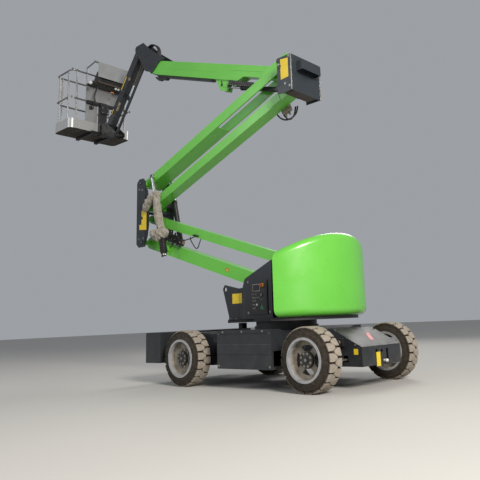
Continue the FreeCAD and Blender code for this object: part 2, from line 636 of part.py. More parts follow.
def sideBoxes():
    # sections looking along X: the top slopes down towards the frame, the rear end is open low down
    length = "(sideBoxFront + sideBoxRear)"
    for node, sign in (("side_box_left", ""), ("side_box_right", "-")):
        forms = []
        for tag, wall in (("Outer", "0"), ("Inner", "coverWall")):
            forms.append(slab(node + tag, [
                ("%s(%s)" % (sign, y), z) for y, z in (
                    ("sideBoxOuter - " + wall, "sideBoxBottom + " + wall),
                    ("sideBoxOuter - " + wall, "sideBoxTop - " + wall),
                    ("sideBoxBrow", "sideBoxTop - " + wall), ("sideBoxNeck", "sideBoxShoulder - " + wall),
                    ("frameHalfWidth + " + wall, "sideBoxShoulder - " + wall),
                    ("frameHalfWidth + " + wall, "sideBoxBottom + " + wall))],
                "%s - 2 * %s" % (length, wall), "YZ_Plane"))
        width = "(sideBoxOuter - frameHalfWidth)"
        window = box(node + "Window", ("-%s / 2 - coverWall" % length,
                                       "frameHalfWidth + sideWindowInset" if not sign else
                                       "sideWindowInset - sideBoxOuter", "sideBoxBottom + sideWindowInset"),
                     ("3 * coverWall", width + " - 2 * sideWindowInset",
                      "sideWindowTop - sideBoxBottom - sideWindowInset"))
        lip = box(node + "Lip", ("-%s / 2" % length, "sideBoxOuter" if not sign else
                                 "-sideBoxOuter - sideLipProud", "sideBoxTop - sideLip"),
                  (length, "sideLipProud", "sideLip"))
        piece(join(node + "Whole", [cut(node + "Hollow", forms[0], [forms[1], window]), lip]), node,
              Placement(Vector(value("(sideBoxFront - sideBoxRear) / 2"), 0, 0), Rotation()))


def slewRing():
    ring = rod("ringOuter", ("0", "0", "frameTop"), "ringRadius", "ringHeight")
    bore = rod("ringInner", ("0", "0", "frameTop - 1"), "ringBore", "ringHeight + 2")
    return piece(cut("ring", ring, [bore]), "slewing_ring")


def frontAxle():
    beamEnd = "(wheelTrack / 2 - rimHalf - housingGap)"
    beam = box("frontBeam", ("wheelBase / 2 - axleHalf", "-" + beamEnd, "tyreRadius - axleHalf"),
               ("2 * axleHalf", "2 * " + beamEnd, "2 * axleHalf"))
    housings = crossRod("driveHousing", "wheelBase / 2", "tyreRadius", "housingRadius",
                        "wheelTrack / 2 - hubInboard - fitGap")
    middle = box("housingGap", ("0", "-" + beamEnd, "0"), ("wheelBase", "2 * " + beamEnd,
                                                           "2 * tyreRadius"))
    spindles = crossRod("frontSpindle", "wheelBase / 2", "tyreRadius", "spindleRadius",
                        "wheelTrack / 2 + rimHalf - rimDishFront - 2 * rimWall - fitGap")
    stubs = cut("driveStubs", join("driveStubsWhole", [housings, spindles]), [middle])
    return piece(join("frontAxle", [beam, stubs]), "front_axle")


def rearAxle():
    pinAt = "(wheelTrack / 2 - kingpinOffset)"
    yokeEnd = pinAt + " + knuckleRadius"
    height = "(steerHeight + yokeThick)"
    beam = box("rearBeam", ("-wheelBase / 2 - axleHalf", "-%s + yokeInset" % pinAt,
                            "tyreRadius - axleHalf"),
               ("2 * axleHalf", "2 * (%s - yokeInset)" % pinAt, "2 * axleHalf"))
    yoke = box("yokeBlock", ("-wheelBase / 2 - yokeHalf", "-(%s)" % yokeEnd, "tyreRadius - " + height),
               ("2 * yokeHalf", "2 * (%s)" % yokeEnd, "2 * " + height))
    middle = box("yokeMiddle", ("-wheelBase / 2 - 2 * yokeHalf", "-%s + yokeInset" % pinAt, "0"),
                 ("4 * yokeHalf", "2 * (%s - yokeInset)" % pinAt, "2 * tyreRadius"))
    mouths = [box("yokeMouth%d" % side, ("-wheelBase / 2 - 2 * yokeHalf", start,
                                         "tyreRadius - steerHeight - fitGap"),
                  ("4 * yokeHalf", "armReach", "2 * (steerHeight + fitGap)"))
              for side, start in ((1, pinAt + " - yokeMouth"), (-1, "-%s + yokeMouth - armReach" % pinAt))]
    pins = [rod("kingpin%d" % side, ("-wheelBase / 2", "%d * %s" % (side, pinAt),
                                     "tyreRadius - " + height), "kingpinRadius", "2 * " + height)
            for side in (-1, 1)]
    yokes = cut("yokes", yoke, [middle] + mouths)
    return piece(join("rearAxle", [beam, yokes] + pins), "rear_axle")


def steering():
    # knuckles drawn with the kingpin at the origin and the wheel towards +Y
    spindleEnd = "kingpinOffset + rimHalf - rimDishRear - 2 * rimWall - fitGap"
    for node, sign in (("knuckle_left", 1), ("knuckle_right", -1)):
        across = Vector(0, sign, 0)
        arm = box(node + "Arm", ("-steerArm", "-armHalf", "-steerHeight"),
                  ("steerArm", "2 * armHalf", "armThick"))
        parts = [rod(node + "Boss", ("0", "0", "-steerHeight"), "knuckleRadius", "2 * steerHeight"),
                 rod(node + "Spindle", ("0", "0", "0"), "spindleRadius", spindleEnd, across),
                 rod(node + "Flange", ("0", "%d * flangeAt" % sign, "0"), "flangeRadius", "armThick",
                     across),
                 arm,
                 rod(node + "Eye", ("-steerArm", "0", "-steerHeight"), "tieEye", "armThick")]
        bore = rod(node + "Bore", ("0", "0", "-armReach"), "kingpinRadius + fitGap", "2 * armReach")
        piece(cut(node + "Cut", join(node + "Whole", parts), [bore]), node, Placement(
            Vector(-value("wheelBase / 2"), sign * value("wheelTrack / 2 - kingpinOffset"),
                   value("tyreRadius")), Rotation()))
    pinAt = "(wheelTrack / 2 - kingpinOffset)"
    level = "tyreRadius - steerHeight + armThick + fitGap"
    eyes = [rod("tieEye%d" % side, ("-wheelBase / 2 - steerArm", "%d * %s" % (side, pinAt), level),
                "tieEye", "tieEyeHeight") for side in (-1, 1)]
    bar = crossRod("tieBar", "-wheelBase / 2 - steerArm", level + " + tieEyeHeight / 2", "tieRadius",
                   pinAt)
    piece(join("tieRod", eyes + [bar]), "tie_rod")


# Wheels: rows are name, front or rear sign, side sign, dish of the disc

wheelTable = [("front_left", 1, 1, "rimDishFront"), ("front_right", 1, -1, "rimDishFront"),
              ("rear_left", -1, 1, "rimDishRear"), ("rear_right", -1, -1, "rimDishRear")]


def tyreForm(name, drop):
    # tyre turned about Z, its tread lowered by drop
    seat = "(rimHalf - rimWall)"
    crown = "tyreRadius - %s" % drop
    return spun(name, [
        ("beadRadius", "-" + seat), ("beadRadius + beadHeight", "-tyreWidth / 2"),
        ("tyreRadius - shoulderHeight", "sideCurve - tyreWidth / 2"),
        (crown + " - shoulderRound", "-treadWidth / 2"), (crown, "shoulderRound - treadWidth / 2"),
        (crown, "treadWidth / 2 - shoulderRound"), (crown + " - shoulderRound", "treadWidth / 2"),
        ("tyreRadius - shoulderHeight", "tyreWidth / 2 - sideCurve"),
        ("beadRadius + beadHeight", "tyreWidth / 2"), ("beadRadius", seat)])


def lugTyre():
    # two staggered rows of pointed lugs round the tread, trimmed to the tyre's outside
    body = tyreForm("tyre", "lugDepth")
    middle = "pi * tyreRadius / lugCount / 2"
    corners = [("treadHalf", "tyreWidth / 2"), ("treadHalf", "treadFlank"), ("treadTipHalf", "-treadTip"),
               ("-treadTipHalf", "-treadTip"), ("-treadHalf", "treadFlank"), ("-treadHalf", "tyreWidth / 2")]
    pads = []
    for tag, sign in (("Outer", ""), ("Inner", "-")):
        sketch = outline(body, "lugSketch" + tag, "YZ_Plane",
                         [("%s(%s + %s)" % (sign, middle, x), "%s(%s)" % (sign, y)) for x, y in corners])
        bind(sketch, "AttachmentOffset.Base.z", "tyreRadius - lugDepth - treadRoot")
        pad = body.newObject("PartDesign::Pad", "lug" + tag)
        pad.Profile = sketch
        bind(pad, "Length", "lugDepth + 2 * treadRoot")
        pads.append(pad)
    rows = body.newObject("PartDesign::PolarPattern", "lugRows")
    rows.Originals = pads
    rows.Axis = (originPlane(body, "Z_Axis"), [""])
    rows.Angle = 360
    bind(rows, "Occurrences", "lugCount")
    body.Tip = rows
    trimmed = doc.addObject("Part::MultiCommon", "lugTyre")
    trimmed.Shapes = [body, tyreForm("tyreOutside", "0")]
    return trimmed


def wheels():
    # turned about Z with the outer face towards +Z, then laid on its axle
    seat = "(rimHalf - rimWall)"
    tyre = lugTyre()
    for name, end, side, dish in wheelTable:
        face = "(rimHalf - %s)" % dish
        disc = spun("disc_" + name, [
            ("spindleRadius + fitGap", "-hubInboard"), ("hubRadius", "-hubInboard"),
            ("hubRadius", "%s - 2 * rimWall" % face), ("beadRadius - rimWall", "%s - 2 * rimWall" % face),
            ("beadRadius - rimWall", "-rimHalf"), ("beadRadius + rimLip", "-rimHalf"),
            ("beadRadius + rimLip", "-" + seat), ("beadRadius", "-" + seat), ("beadRadius", seat),
            ("beadRadius + rimLip", seat), ("beadRadius + rimLip", "rimHalf"),
            ("beadRadius - rimWall", "rimHalf"), ("beadRadius - rimWall", "%s - rimWall" % face),
            ("hubRadius", "%s - rimWall" % face), ("hubRadius", "%s + hubProud" % face),
            ("hubCap", "%s + hubProud" % face), ("hubCap", "%s - 2 * rimWall" % face),
            ("spindleRadius + fitGap", "%s - 2 * rimWall" % face)])
        cap = rod("cap_" + name, ("0", "0", "%s - 2 * rimWall" % face), "hubCap", "2 * rimWall + hubProud")
        shape = join("wheel_" + name, [disc, cap])
        if dish == "rimDishRear":
            # four hand holes, a ring parted by crossed spokes
            outer, inner = [rod("hand%s_%s" % (edge, name), ("0", "0", "-rimHalf"), "handHole" + edge,
                                "3 * rimHalf") for edge in ("Outer", "Inner")]
            spokes = [slab("spoke%d_%s" % (slope + 1, name), [
                ("-armReach - spokeSlant", "%d * (spokeSlant - armReach)" % slope),
                ("spokeSlant - armReach", "%d * (-armReach - spokeSlant)" % slope),
                ("armReach + spokeSlant", "%d * (armReach - spokeSlant)" % slope),
                ("armReach - spokeSlant", "%d * (armReach + spokeSlant)" % slope)],
                "6 * rimHalf", "XY_Plane") for slope in (1, -1)]
            holes = cut("handHoles_" + name, outer, [inner] + spokes)
            shape = cut("spokes_" + name, shape, [holes])
        place = Placement(Vector(end * value("wheelBase / 2"), side * value("wheelTrack / 2"),
                                 value("tyreRadius")), Rotation(Vector(1, 0, 0), -90 * side))
        copy = doc.addObject("Part::Compound", "rubber_" + name)
        copy.Links = [tyre]
        piece(copy, "tyre_" + name, place)
        piece(shape, "rim_" + name, place)


# Turntable

def deck():
    rear = cut("deckRear", rod("deckDisc", ("0", "0", "deckBottom"), "tailRadius - deckInset",
                               "deckTop - deckBottom"),
               [box("deckRearCut", ("deckInset - hoodFront", "-machineReach", "0"),
                    ("machineReach", "2 * machineReach", "machineReach"))])
    plate = join("deckPlate", [
        rear,
        box("deckNose", ("-hoodFront", "-deckHalfWidth", "deckBottom"),
            ("hoodFront + deckFront", "2 * deckHalfWidth", "deckTop - deckBottom")),
        rod("deckRound", ("0", "0", "deckBottom"), "deckRadius", "deckTop - deckBottom"),
        rod("deckSpin", ("0", "0", "frameTop + ringHeight + fitGap"), "spinRadius",
            "deckBottom - frameTop - ringHeight - fitGap")])
    bore = rod("deckBore", ("0", "0", "0"), "ringBore", "deckBottom")
    return piece(cut("deck", plate, [bore]), "turntable_deck")


def cheeks():
    plates = pair("cheekPlates", [
        ("-cheekBack", "deckTop"), ("cheekFront", "deckTop"), ("cheekFront", "cheekFoot"),
        ("cheekTip", "cheekTipHeight"), ("cheekNose", "cheekNoseTop"), ("cheekNotchFront", "cheekNotch"),
        ("cheekNotchBack", "cheekNotch"), ("cheekShoulderAt", "cheekShoulder"),
        ("-cheekCrownFront", "cheekCrown"), ("-cheekCrownBack", "cheekCrown"),
        ("-cheekBack", "cheekRearTop")], "cheekInner", "cheekThick")
    bored = cut("cheekBored", plates, [crossRod("liftingBore", "liftingHoleAt", "liftingHoleHeight",
                                                "liftingHole", "armReach")])
    pins = []
    for index, height in enumerate(("riserRootHeight", "riserRootHeight + riserSpacing")):
        pins.append(crossRod("rootPin%d" % index, "-riserRootBack", height, "pinRadius",
                             "cheekInner + cheekThick"))
        head = cut("rootHeads%d" % index,
                   crossRod("rootHead%d" % index, "-riserRootBack", height, "pinRadius + bossWall",
                            "cheekInner + cheekThick + pinHead"),
                   [crossRod("rootHeadGap%d" % index, "-riserRootBack", height, "pinRadius + 2 * bossWall",
                             "cheekInner + cheekThick")])
        pins.append(head)
    return piece(join("cheeks", [bored, housing()] + pins), "turntable_cheeks")


def housing():
    # folded cover on the left plate, its top edge along the plate's, bevelled towards the nose
    slope = "(cheekCrown - cheekShoulder) / (cheekShoulderAt + cheekCrownFront)"
    whole = slab("housingWhole", [
        ("-housingBack", "deckTop"), ("housingFront", "deckTop"), ("housingFront", "cheekNotch"),
        ("cheekNotchBack", "cheekNotch"), ("cheekShoulderAt", "cheekShoulder"),
        ("-housingBack", "cheekShoulder + (cheekShoulderAt + housingBack) * " + slope)], "2 * housingOuter")
    inner = box("housingInner", ("-machineReach", "-machineReach", "0"),
                ("2 * machineReach", "machineReach + cheekInner + cheekThick", "machineReach"))
    bevel = slab("housingBevel", [
        ("housingBevelAt", "housingOuter"), ("housingFront", "cheekInner + cheekThick"),
        ("2 * housingFront", "cheekInner + cheekThick"), ("2 * housingFront", "2 * housingOuter"),
        ("housingBevelAt", "2 * housingOuter")], "2 * machineReach", "XY_Plane")
    return cut("housing", whole, [inner, bevel])


def groundControls():
    body = slab("groundPanel", [("-panelBack", "panelFoot"), ("panelFront", "panelFoot"),
                                ("panelFront", "panelFrontTop"), ("-panelBack", "panelBackTop")],
                "panelThick")
    return piece(body, "ground_controls",
                 Placement(Vector(0, value("housingOuter + panelThick / 2"), 0), Rotation()))


def hoodForm(name, inset, foot, footRound="0"):
    # drum about the slewing axis with a sloping, rounded top, a rounded foot and a flat front
    ahead = ("2 * machineReach", "2 * machineReach", "machineReach")
    drum = rod(name + "Drum", ("0", "0", foot), "tailRadius - " + inset, "2 * hoodTop")
    lid = slab(name + "Lid", [
        ("hoodFront - 2 * tailRadius", "2 * hoodTop - hoodFrontTop - " + inset),
        ("5 * tailRadius - 6 * hoodFront", "6 * hoodFrontTop - 5 * hoodTop - " + inset),
        ("5 * tailRadius - 6 * hoodFront", "machineReach"),
        ("hoodFront - 2 * tailRadius", "machineReach")], "2 * machineReach")
    capped = cut(name + "Capped", drum, [
        lid, box(name + "Rough", ("hoodRound - hoodFront", "-machineReach", "0"), ahead)])
    doc.recompute()
    curved = [(index, edge.BoundBox.ZMax) for index, edge in enumerate(capped.Shape.Edges, 1)
              if edge.Curve.TypeId != "Part::GeomLine"]
    highest = max(height for index, height in curved)
    rounds = [(index, value("hoodRound - " + inset if height == highest else footRound))
              for index, height in curved]
    rounded = doc.addObject("Part::Fillet", name + "Rounded")
    rounded.Base = capped
    rounded.Edges = [(index, radius, radius) for index, radius in rounds if radius > 0]
    return cut(name, rounded, [box(name + "Front", ("-hoodFront - %s" % inset, "-machineReach", "0"), ahead)])


def hood():
    outer = hoodForm("hoodOuter", "0", "deckTop", "hoodFoot")
    inner = hoodForm("hoodInner", "hoodWall", "(deckTop + hoodWall)", "hoodFoot - hoodWall")
    # opening in the floor, inside the foot's rounding
    well = rod("hoodWell", ("0", "0", "deckTop - hoodWall"), "tailRadius - hoodFoot - hoodLip", "hoodFoot")
    flange = box("hoodFlange", ("-hoodFront - hoodLip", "-machineReach", "0"),
                 ("2 * machineReach", "2 * machineReach", "machineReach"))
    return piece(cut("hood", outer, [inner, cut("hoodOpening", well, [flange])]), "hood")


def counterweight():
    form = hoodForm("ballastForm", "(hoodWall + ballastGap)", "deckTop", "hoodFoot + ballastGap")
    above = box("ballastAbove", ("-machineReach", "-machineReach", "ballastTop"),
                ("2 * machineReach", "2 * machineReach", "machineReach"))
    return piece(cut("ballast", form, [above]), "counterweight")


# Arms

def lowerPair():
    solid, empty = strut("lowerArm", "riserLength", "lowerArmDepth", "lowerArmWidth",
                         ("cheekInner - bossGap", "midPlateInner - bossGap"))
    solid.append(crossRod("liftPin", "liftAlong", "0", "pinRadius", "liftSide + liftEyeHalf"))
    solid.append(crossRod("liftBoss", "liftAlong", "0", "pinRadius + bossWall",
                          "liftSide - liftBarrel - bossGap"))
    piece(cut("lowerArmCut", join("lowerArmWhole", solid), empty), "lower_arm",
          pitch(riserRoot, riserAngle))
    solid, empty = strut("lowerLink", "riserLength", "lowerLinkDepth", "lowerLinkWidth",
                         ("cheekInner - bossGap", "midPlateInner - bossGap"))
    piece(cut("lowerLinkCut", join("lowerLinkWhole", solid), empty), "lower_link",
          pitch(linkRoot, riserAngle))


def middleKnuckle():
    plates = pair("midPlates", [
        ("-midPlateBack", "-midPlateBelow"), ("midPlateFront - midPlateCorner", "-midPlateBelow"),
        ("midPlateFront", "midPlateCorner - midPlateBelow"),
        ("midPlateFront", "midRise + midPlateAbove - midPlateCorner"),
        ("midPlateFront - midPlateCorner", "midRise + midPlateAbove"),
        ("-midPlateBack + midPlateCorner", "midRise + midPlateAbove"),
        ("-midPlateBack", "midRise + midPlateAbove - midPlateCorner")],
        "midPlateInner", "midPlateThick")
    parts = [plates]
    for index, (x, z) in enumerate((("0", "0"), ("0", "riserSpacing"),
                                    ("midSetForward", "midRise - upperSpacing"),
                                    ("midSetForward", "midRise"))):
        parts.append(crossRod("midPin%d" % index, x, z, "pinRadius",
                              "midPlateInner + midPlateThick + pinHead"))
    parts.append(crossRod("midTube", "midSetForward / 2",
                          "(riserSpacing + midRise - upperSpacing) / 2", "midTube", "midPlateInner"))
    piece(join("middleKnuckle", parts), "middle_knuckle", Placement(riserTip, Rotation()))


def upperPair():
    # drawn from the front pins, so that +X runs up to the rear
    solid, empty = strut("upperArm", "upperLength", "upperArmDepth", "upperArmWidth",
                         ("midPlateInner - bossGap", "upperArmWidth / 2"), "upperArmTrough")
    solid.append(crossRod("headPin", "liftBack", "0", "pinRadius + bossWall",
                          "liftSide - liftRod - 2 * bossGap"))
    deep = "upperArmDepth"
    # side plates at the rear end stand higher than the tube; up is -Z in this frame
    solid.append(pair("armCheeks", [
        ("upperLength - armCheekLength - armCheekSlant", "0"),
        ("upperLength - armCheekLength - armCheekSlant", "armCheekSlant / 2 - upperArmDepth / 2"),
        ("upperLength - armCheekLength", "-armCheekRise"),
        ("upperLength + armCheekSlant / 2", "-armCheekRise"),
        ("upperLength + armCheekSlant", "armCheekSlant / 2 - armCheekRise"),
        ("upperLength + armCheekSlant", "0")],
        "upperArmSlot / 2", "(upperArmWidth - upperArmSlot) / 2"))
    empty.append(box("upperSlot", ("upperLength - upperArmFork", "-upperArmSlot / 2", "-" + deep),
                     ("2 * upperArmFork", "upperArmSlot", "2 * " + deep)))
    # the trough is open at the top, which is -Z in this frame
    empty.append(box("upperTrough", ("upperLength - upperArmTrough + bulkhead", "-upperArmSlot / 2",
                                     "-upperArmDepth"),
                     ("2 * upperArmTrough", "upperArmSlot", "1.5 * upperArmDepth - tubeWall")))
    piece(cut("upperArmCut", join("upperArmWhole", solid), empty), "upper_arm",
          Placement(upperFront, Rotation(Vector(0, 1, 0), -(180 - upperAngle))))
    solid, empty = strut("upperLink", "upperLength", "upperLinkDepth", "upperLinkWidth",
                         ("midPlateInner - bossGap", "earInner - bossGap"))
    piece(cut("upperLinkCut", join("upperLinkWhole", solid), empty), "upper_link",
          Placement(upperLinkFront, Rotation(Vector(0, 1, 0), -(180 - upperAngle))))


def upperKnuckle():
    # drawn from the upper arm's rear pin
    sides = pair("knuckleSides", [
        ("-knuckleBack", "-knuckleTopDrop - knuckleHeight"),
        ("knuckleFront", "-knuckleTopDrop - knuckleHeight"),
        ("knuckleFront", "-knuckleTopDrop"), ("-knuckleBack", "-knuckleTopDrop")],
        "knuckleHalfWidth - knucklePlate", "knucklePlate")
    back = box("knuckleBack", ("-knuckleBack", "-knuckleHalfWidth", "-knuckleTopDrop - knuckleHeight"),
               ("knucklePlate", "2 * knuckleHalfWidth", "knuckleHeight"))
    ears = pair("knuckleEars", [
        ("knucklePlate / 2 - knuckleBack", "-earFoot"), ("earFront", "-earFoot"),
        ("earFront", "earTop - earFront / 2"), ("earFront / 2", "earTop"), ("-earFront / 2", "earTop"),
        ("-earFront", "earTop - earFront / 2"),
        ("knucklePlate / 2 - knuckleBack", "-knuckleTopDrop - earFront")],
        "earInner", "earThick")
    stubs = cut("armStubs", crossRod("armStub", "0", "0", "pinRadius", "earInner + earThick + pinHead"),
                [crossRod("armStubGap", "0", "0", "2 * pinRadius", "stubReach")])
    boomPin = crossRod("boomPin", "-boomPivotBack", "-boomPivotDrop", "pinRadius", "earInner + earThick")
    linkPin = crossRod("linkPin", "0", "-upperSpacing", "pinRadius", "knuckleHalfWidth")
    foot = "upperLinkDepth / 2 + bracketGap - upperSpacing"
    bracket = pair("luffBracket", [
        ("knucklePlate / 2 - knuckleBack", foot), ("luffForward / 2", foot),
        ("luffForward", "-luffDrop - luffBarrel"), ("luffForward + luffBarrel", "-luffDrop"),
        ("luffForward", "luffBarrel - luffDrop"),
        ("knucklePlate / 2 - knuckleBack", "bracketTop - luffDrop")], "lugInner", "lugThick")
    luffPin = crossRod("luffPin", "luffForward", "-luffDrop", "smallPin", "lugInner + lugThick")
    piece(join("upperKnuckle", [sides, back, ears, stubs, boomPin, linkPin, bracket, luffPin]),
          "upper_knuckle", Placement(upperRear, Rotation()))
    tray = cut("tray", box("trayOuter", ("-knuckleBack - trayBack", "-trayHalfWidth", "-trayBottom"),
                           ("trayBack", "2 * trayHalfWidth", "trayBottom - trayTop")),
               [box("trayInner", ("coverWall - knuckleBack - trayBack", "coverWall - trayHalfWidth",
                                  "-trayBottom - 1"),
                    ("trayBack - 2 * coverWall", "2 * (trayHalfWidth - coverWall)",
                     "trayBottom - trayTop - coverWall + 1"))])
    piece(tray, "knuckle_tray", Placement(upperRear, Rotation()))


# Main boom

def mainBoom():
    half = "boomWidth / 2"
    tube = slab("boomTube", [
        ("0", "boomRise"), ("0", "-boomTail"), ("boomTaper", "-boomRearDrop"),
        ("boomRearEnd - boomRearDrop", "-boomRearDrop"), ("boomRearEnd", "-boomDrop"),
        ("boomLength - boomSlant", "-boomDrop"), ("boomLength + boomNose", "-boomNoseDrop"),
        ("boomLength", "boomRise")], "boomWidth")
    tail = crossRod("boomTailEnd", "0", "0", "boomTail", half)
    boss = crossRod("boomBoss", "0", "0", "pinRadius + bossWall", "boomBossReach")
    lugs = cut("boomLugsCut", pair("boomLugs", [
        ("lugBack", "-boomDrop"), ("lugBack", "-lugDrop"),
        ("lugFoot", "-lugDrop"), ("lugFront", "-boomDrop")], "lugInner", "lugThick"),
        [crossRod("lugHole", "luffAlong", "-luffBelow", "lugEye", "armReach")])
    # the front wear pads are what stands between the two roomy stretches
    section = ("boomWidth - 2 * tubeWall", "boomDrop + boomRise - 2 * tubeWall")
    roomStart = "(boomRearEnd + bulkhead)"
    padEnd = "(boomLength - padInset)"
    rooms = [box("boomRoom", (roomStart, "tubeWall - " + half, "tubeWall - boomDrop"),
                 ("%s - padLength - %s" % (padEnd, roomStart),) + section),
             box("boomMouth", (padEnd, "tubeWall - " + half, "tubeWall - boomDrop"),
                 ("boomLength",) + section),
             box("boomSlide", (roomStart, "-extensionWidth / 2 - fitGap",
                               "-extensionDrop - extensionDepth / 2 - fitGap"),
                 ("boomLength", "extensionWidth + 2 * fitGap", "extensionDepth + 2 * fitGap"))]
    rearRoom = box("boomRearRoom", ("boomTaper", "tubeWall - " + half, "tubeWall - boomRearDrop"),
                   ("boomRearEnd - boomTaper - bulkhead", "boomWidth - 2 * tubeWall",
                    "boomRearDrop + boomRise - 2 * tubeWall"))
    bore = crossRod("boomBore", "0", "0", "pinRadius + fitGap", "armReach")
    piece(cut("boomCut", join("boomWhole", [tube, tail, boss, lugs]), rooms + [rearRoom, bore]),
          "main_boom", pitch(boomPivot, boomAngle))


def extension():
    half = "extensionWidth / 2"
    low = "-extensionDrop - extensionDepth / 2"
    tube = box("slideTube", ("extensionTail", "-" + half, low),
               ("extensionReach - extensionTail", "extensionWidth", "extensionDepth"))
    pads = box("slidePads", ("extensionTail", "tubeWall + fitGap - boomWidth / 2",
                             "tubeWall + fitGap - boomDrop"),
               ("padLength", "boomWidth - 2 * tubeWall - 2 * fitGap",
                "boomDrop + boomRise - 2 * tubeWall - 2 * fitGap"))
    nose = crossRod("slideNose", "extensionReach", "-extensionDrop", "extensionNose", half)
    room = box("slideRoom", ("extensionTail - 1", "tubeWall - " + half, low + " + tubeWall"),
               ("extensionReach - extensionTail - endBlock", "extensionWidth - 2 * tubeWall",
                "extensionDepth - 2 * tubeWall"))
    boss = crossRod("slideBoss", "extensionReach", "-extensionDrop", "pinRadius + bossWall",
                    "headPlateInner - fitGap")
    bore = crossRod("slideBore", "extensionReach", "-extensionDrop", "pinRadius + fitGap", "armReach")
    piece(cut("slideCut", join("slideWhole", [tube, pads, nose, boss]), [room, bore]), "boom_extension",
          pitch(boomPivot, boomAngle))


# Jib and its head

def jibHeadPlates():
    root = ("jibRootForward", "jibRootRise")
    plates = pair("headPlates", [
        ("-headTail", "headTailRise"), ("-headNeck", "headTailRise"), ("-headHeel", "-headHeelDrop"),
        ("headToe", "-headToeDrop"), ("headChest", "headChestRise"),
        ("jibRootForward + headLug", "jibRootRise - headLug / 2"),
        ("jibRootForward + headLug", "jibRootRise + headLug / 2"),
        ("jibRootForward + headLug / 2", "jibRootRise + headLug"),
        ("headCrown", "jibRootRise + headLug"), ("-headBrow", "headBrowRise")],
        "headPlateInner", "headPlateThick")
    outside = "headPlateInner + headPlateThick + pinHead / 2"
    foot = ("jibRootForward - jibFootBack", "jibRootRise - jibFootDrop")
    pins = [crossRod("headPin%d" % index, x, z, radius, outside) for index, (x, z, radius) in enumerate((
        ("0", "0", "pinRadius"), root + ("smallPin",),
        ("jibRootForward - linkSetBack", "jibRootRise - linkDrop", "smallPin")))]
    # the cylinder's pin stands on the right plate only, so that the link can swing past it
    pins.append(rod("footPin", (foot[0], "-(%s)" % outside, foot[1]), "smallPin",
                    "%s - jibRamSide + jibEyeHalf + bossGap" % outside, Vector(0, 1, 0)))
    web = box("headWeb", ("headWebAt", "-headPlateInner", "headWebRise"),
              ("headPlateThick", "2 * headPlateInner", "headWebHeight"))
    return piece(join("jibHead", [plates, web] + pins), "jib_head", Placement(headPin, Rotation()))


def jib():
    half = "jibDepth / 2"
    side = "jibWidth / 2"
    boss = "smallPin + jibBossWall"
    reach = "headPlateInner - bossGap"
    solid = [box("jibTube", ("0", "-" + side, "-" + half), ("jibLength", "jibWidth", "jibDepth")),
             crossRod("jibTail", "0", "0", half, side), crossRod("jibNose", "jibLength", "0", half, side),
             crossRod("jibTailBoss", "0", "0", boss, reach),
             crossRod("jibNoseBoss", "jibLength", "0", boss, reach)]
    # lug plates for the cylinder on the underside, which is +Z in this frame
    lugBox = [box("jibLug%d" % index, ("jibLugAlong - jibLugHalf", "%s" % y, "0"),
                  ("2 * jibLugHalf", "jibLugThick", "jibLugDrop + jibLugHalf"))
              for index, y in enumerate(("jibRamSide - jibEyeHalf - bossGap - jibLugThick",
                                         "jibRamSide + jibEyeHalf + bossGap"))]
    holes = [crossRod("jibLugHole", "jibLugAlong", "jibLugDrop", "smallPin", "armReach"),
             crossRod("jibTailBore", "0", "0", "smallPin + fitGap", "armReach"),
             crossRod("jibNoseBore", "jibLength", "0", "smallPin + fitGap", "armReach"),
             box("jibInside", ("endBlock", "tubeWall - " + side, "tubeWall - " + half),
                 ("jibLength - 2 * endBlock", "jibWidth - 2 * tubeWall", "jibDepth - 2 * tubeWall"))]
    piece(cut("jibCut", join("jibWhole", solid + lugBox), holes), "jib",
          Placement(jibRoot, Rotation(Vector(0, 1, 0), jibAngle) * Rotation(Vector(1, 0, 0), 180)))
    eye = "2 * linkEyeHalf"
    across = Vector(0, 1, 0)
    rodParts = [rod("linkTube", ("0", "linkSide", "0"), "linkRadius", "jibLength", Vector(1, 0, 0))]
    rodParts += [rod("linkEye%d" % index, (x, "linkSide - linkEyeHalf", "0"), "jibEye", eye, across)
                 for index, x in enumerate(("0", "jibLength"))]
    bores = [rod("linkBore%d" % index, (x, "-armReach", "0"), "smallPin + fitGap", "2 * armReach", across)
             for index, x in enumerate(("0", "jibLength"))]
    piece(cut("jibLinkCut", join("jibLinkWhole", rodParts), bores), "jib_link",
          Placement(jibRoot + linkOffset, Rotation(Vector(0, 1, 0), jibAngle)))


def platformBracket():
    # drawn from the jib's end pin
    plates = pair("bracketPlates", [
        ("-linkSetBack - bracketLug", "-linkDrop - bracketLug / 2"),
        ("-linkSetBack", "-linkDrop - bracketLug"),
        ("-linkSetBack / 2", "-linkDrop - bracketLug / 2"),
        ("rotatorForward - rotatorRadius", "-rotatorHeight / 2"),
        ("rotatorForward - rotatorRadius", "bracketLug"), ("-bracketLug / 2", "bracketLug"),
        ("-bracketLug", "bracketLug / 2"), ("-linkSetBack - bracketLug", "-linkDrop + bracketLug / 2")],
        "headPlateInner", "headPlateThick")
    block = box("bracketBlock", ("rotatorForward - rotatorRadius - jibBracketBlock",
                                 "-headPlateInner - headPlateThick",
                                 "-rotatorHeight / 2"),
                ("jibBracketBlock", "2 * (headPlateInner + headPlateThick)",
                 "rotatorHeight / 2 + bracketLug"))
    gear = rod("rotatorGear", ("rotatorForward", "0", "-rotatorHeight / 2"), "rotatorRadius", "rotatorHeight")
    neck = box("rotatorNeck", ("rotatorForward - rotatorRadius - 1", "-rotatorRadius / 2",
                               "-rotatorHeight / 2"),
               ("rotatorRadius", "rotatorRadius", "rotatorHeight"))
    pins = [crossRod("bracketPin%d" % index, x, z, "smallPin",
                     "headPlateInner + headPlateThick + pinHead / 2")
            for index, (x, z) in enumerate((("0", "0"), ("-linkSetBack", "-linkDrop")))]
    return piece(join("platformBracket", [plates, block, gear, neck] + pins), "platform_bracket",
                 Placement(jibTip, Rotation()))


# Platform, drawn from the turning axis at the height of the jib's end pin

def platformPlace():
    return Placement(rotator, Rotation())


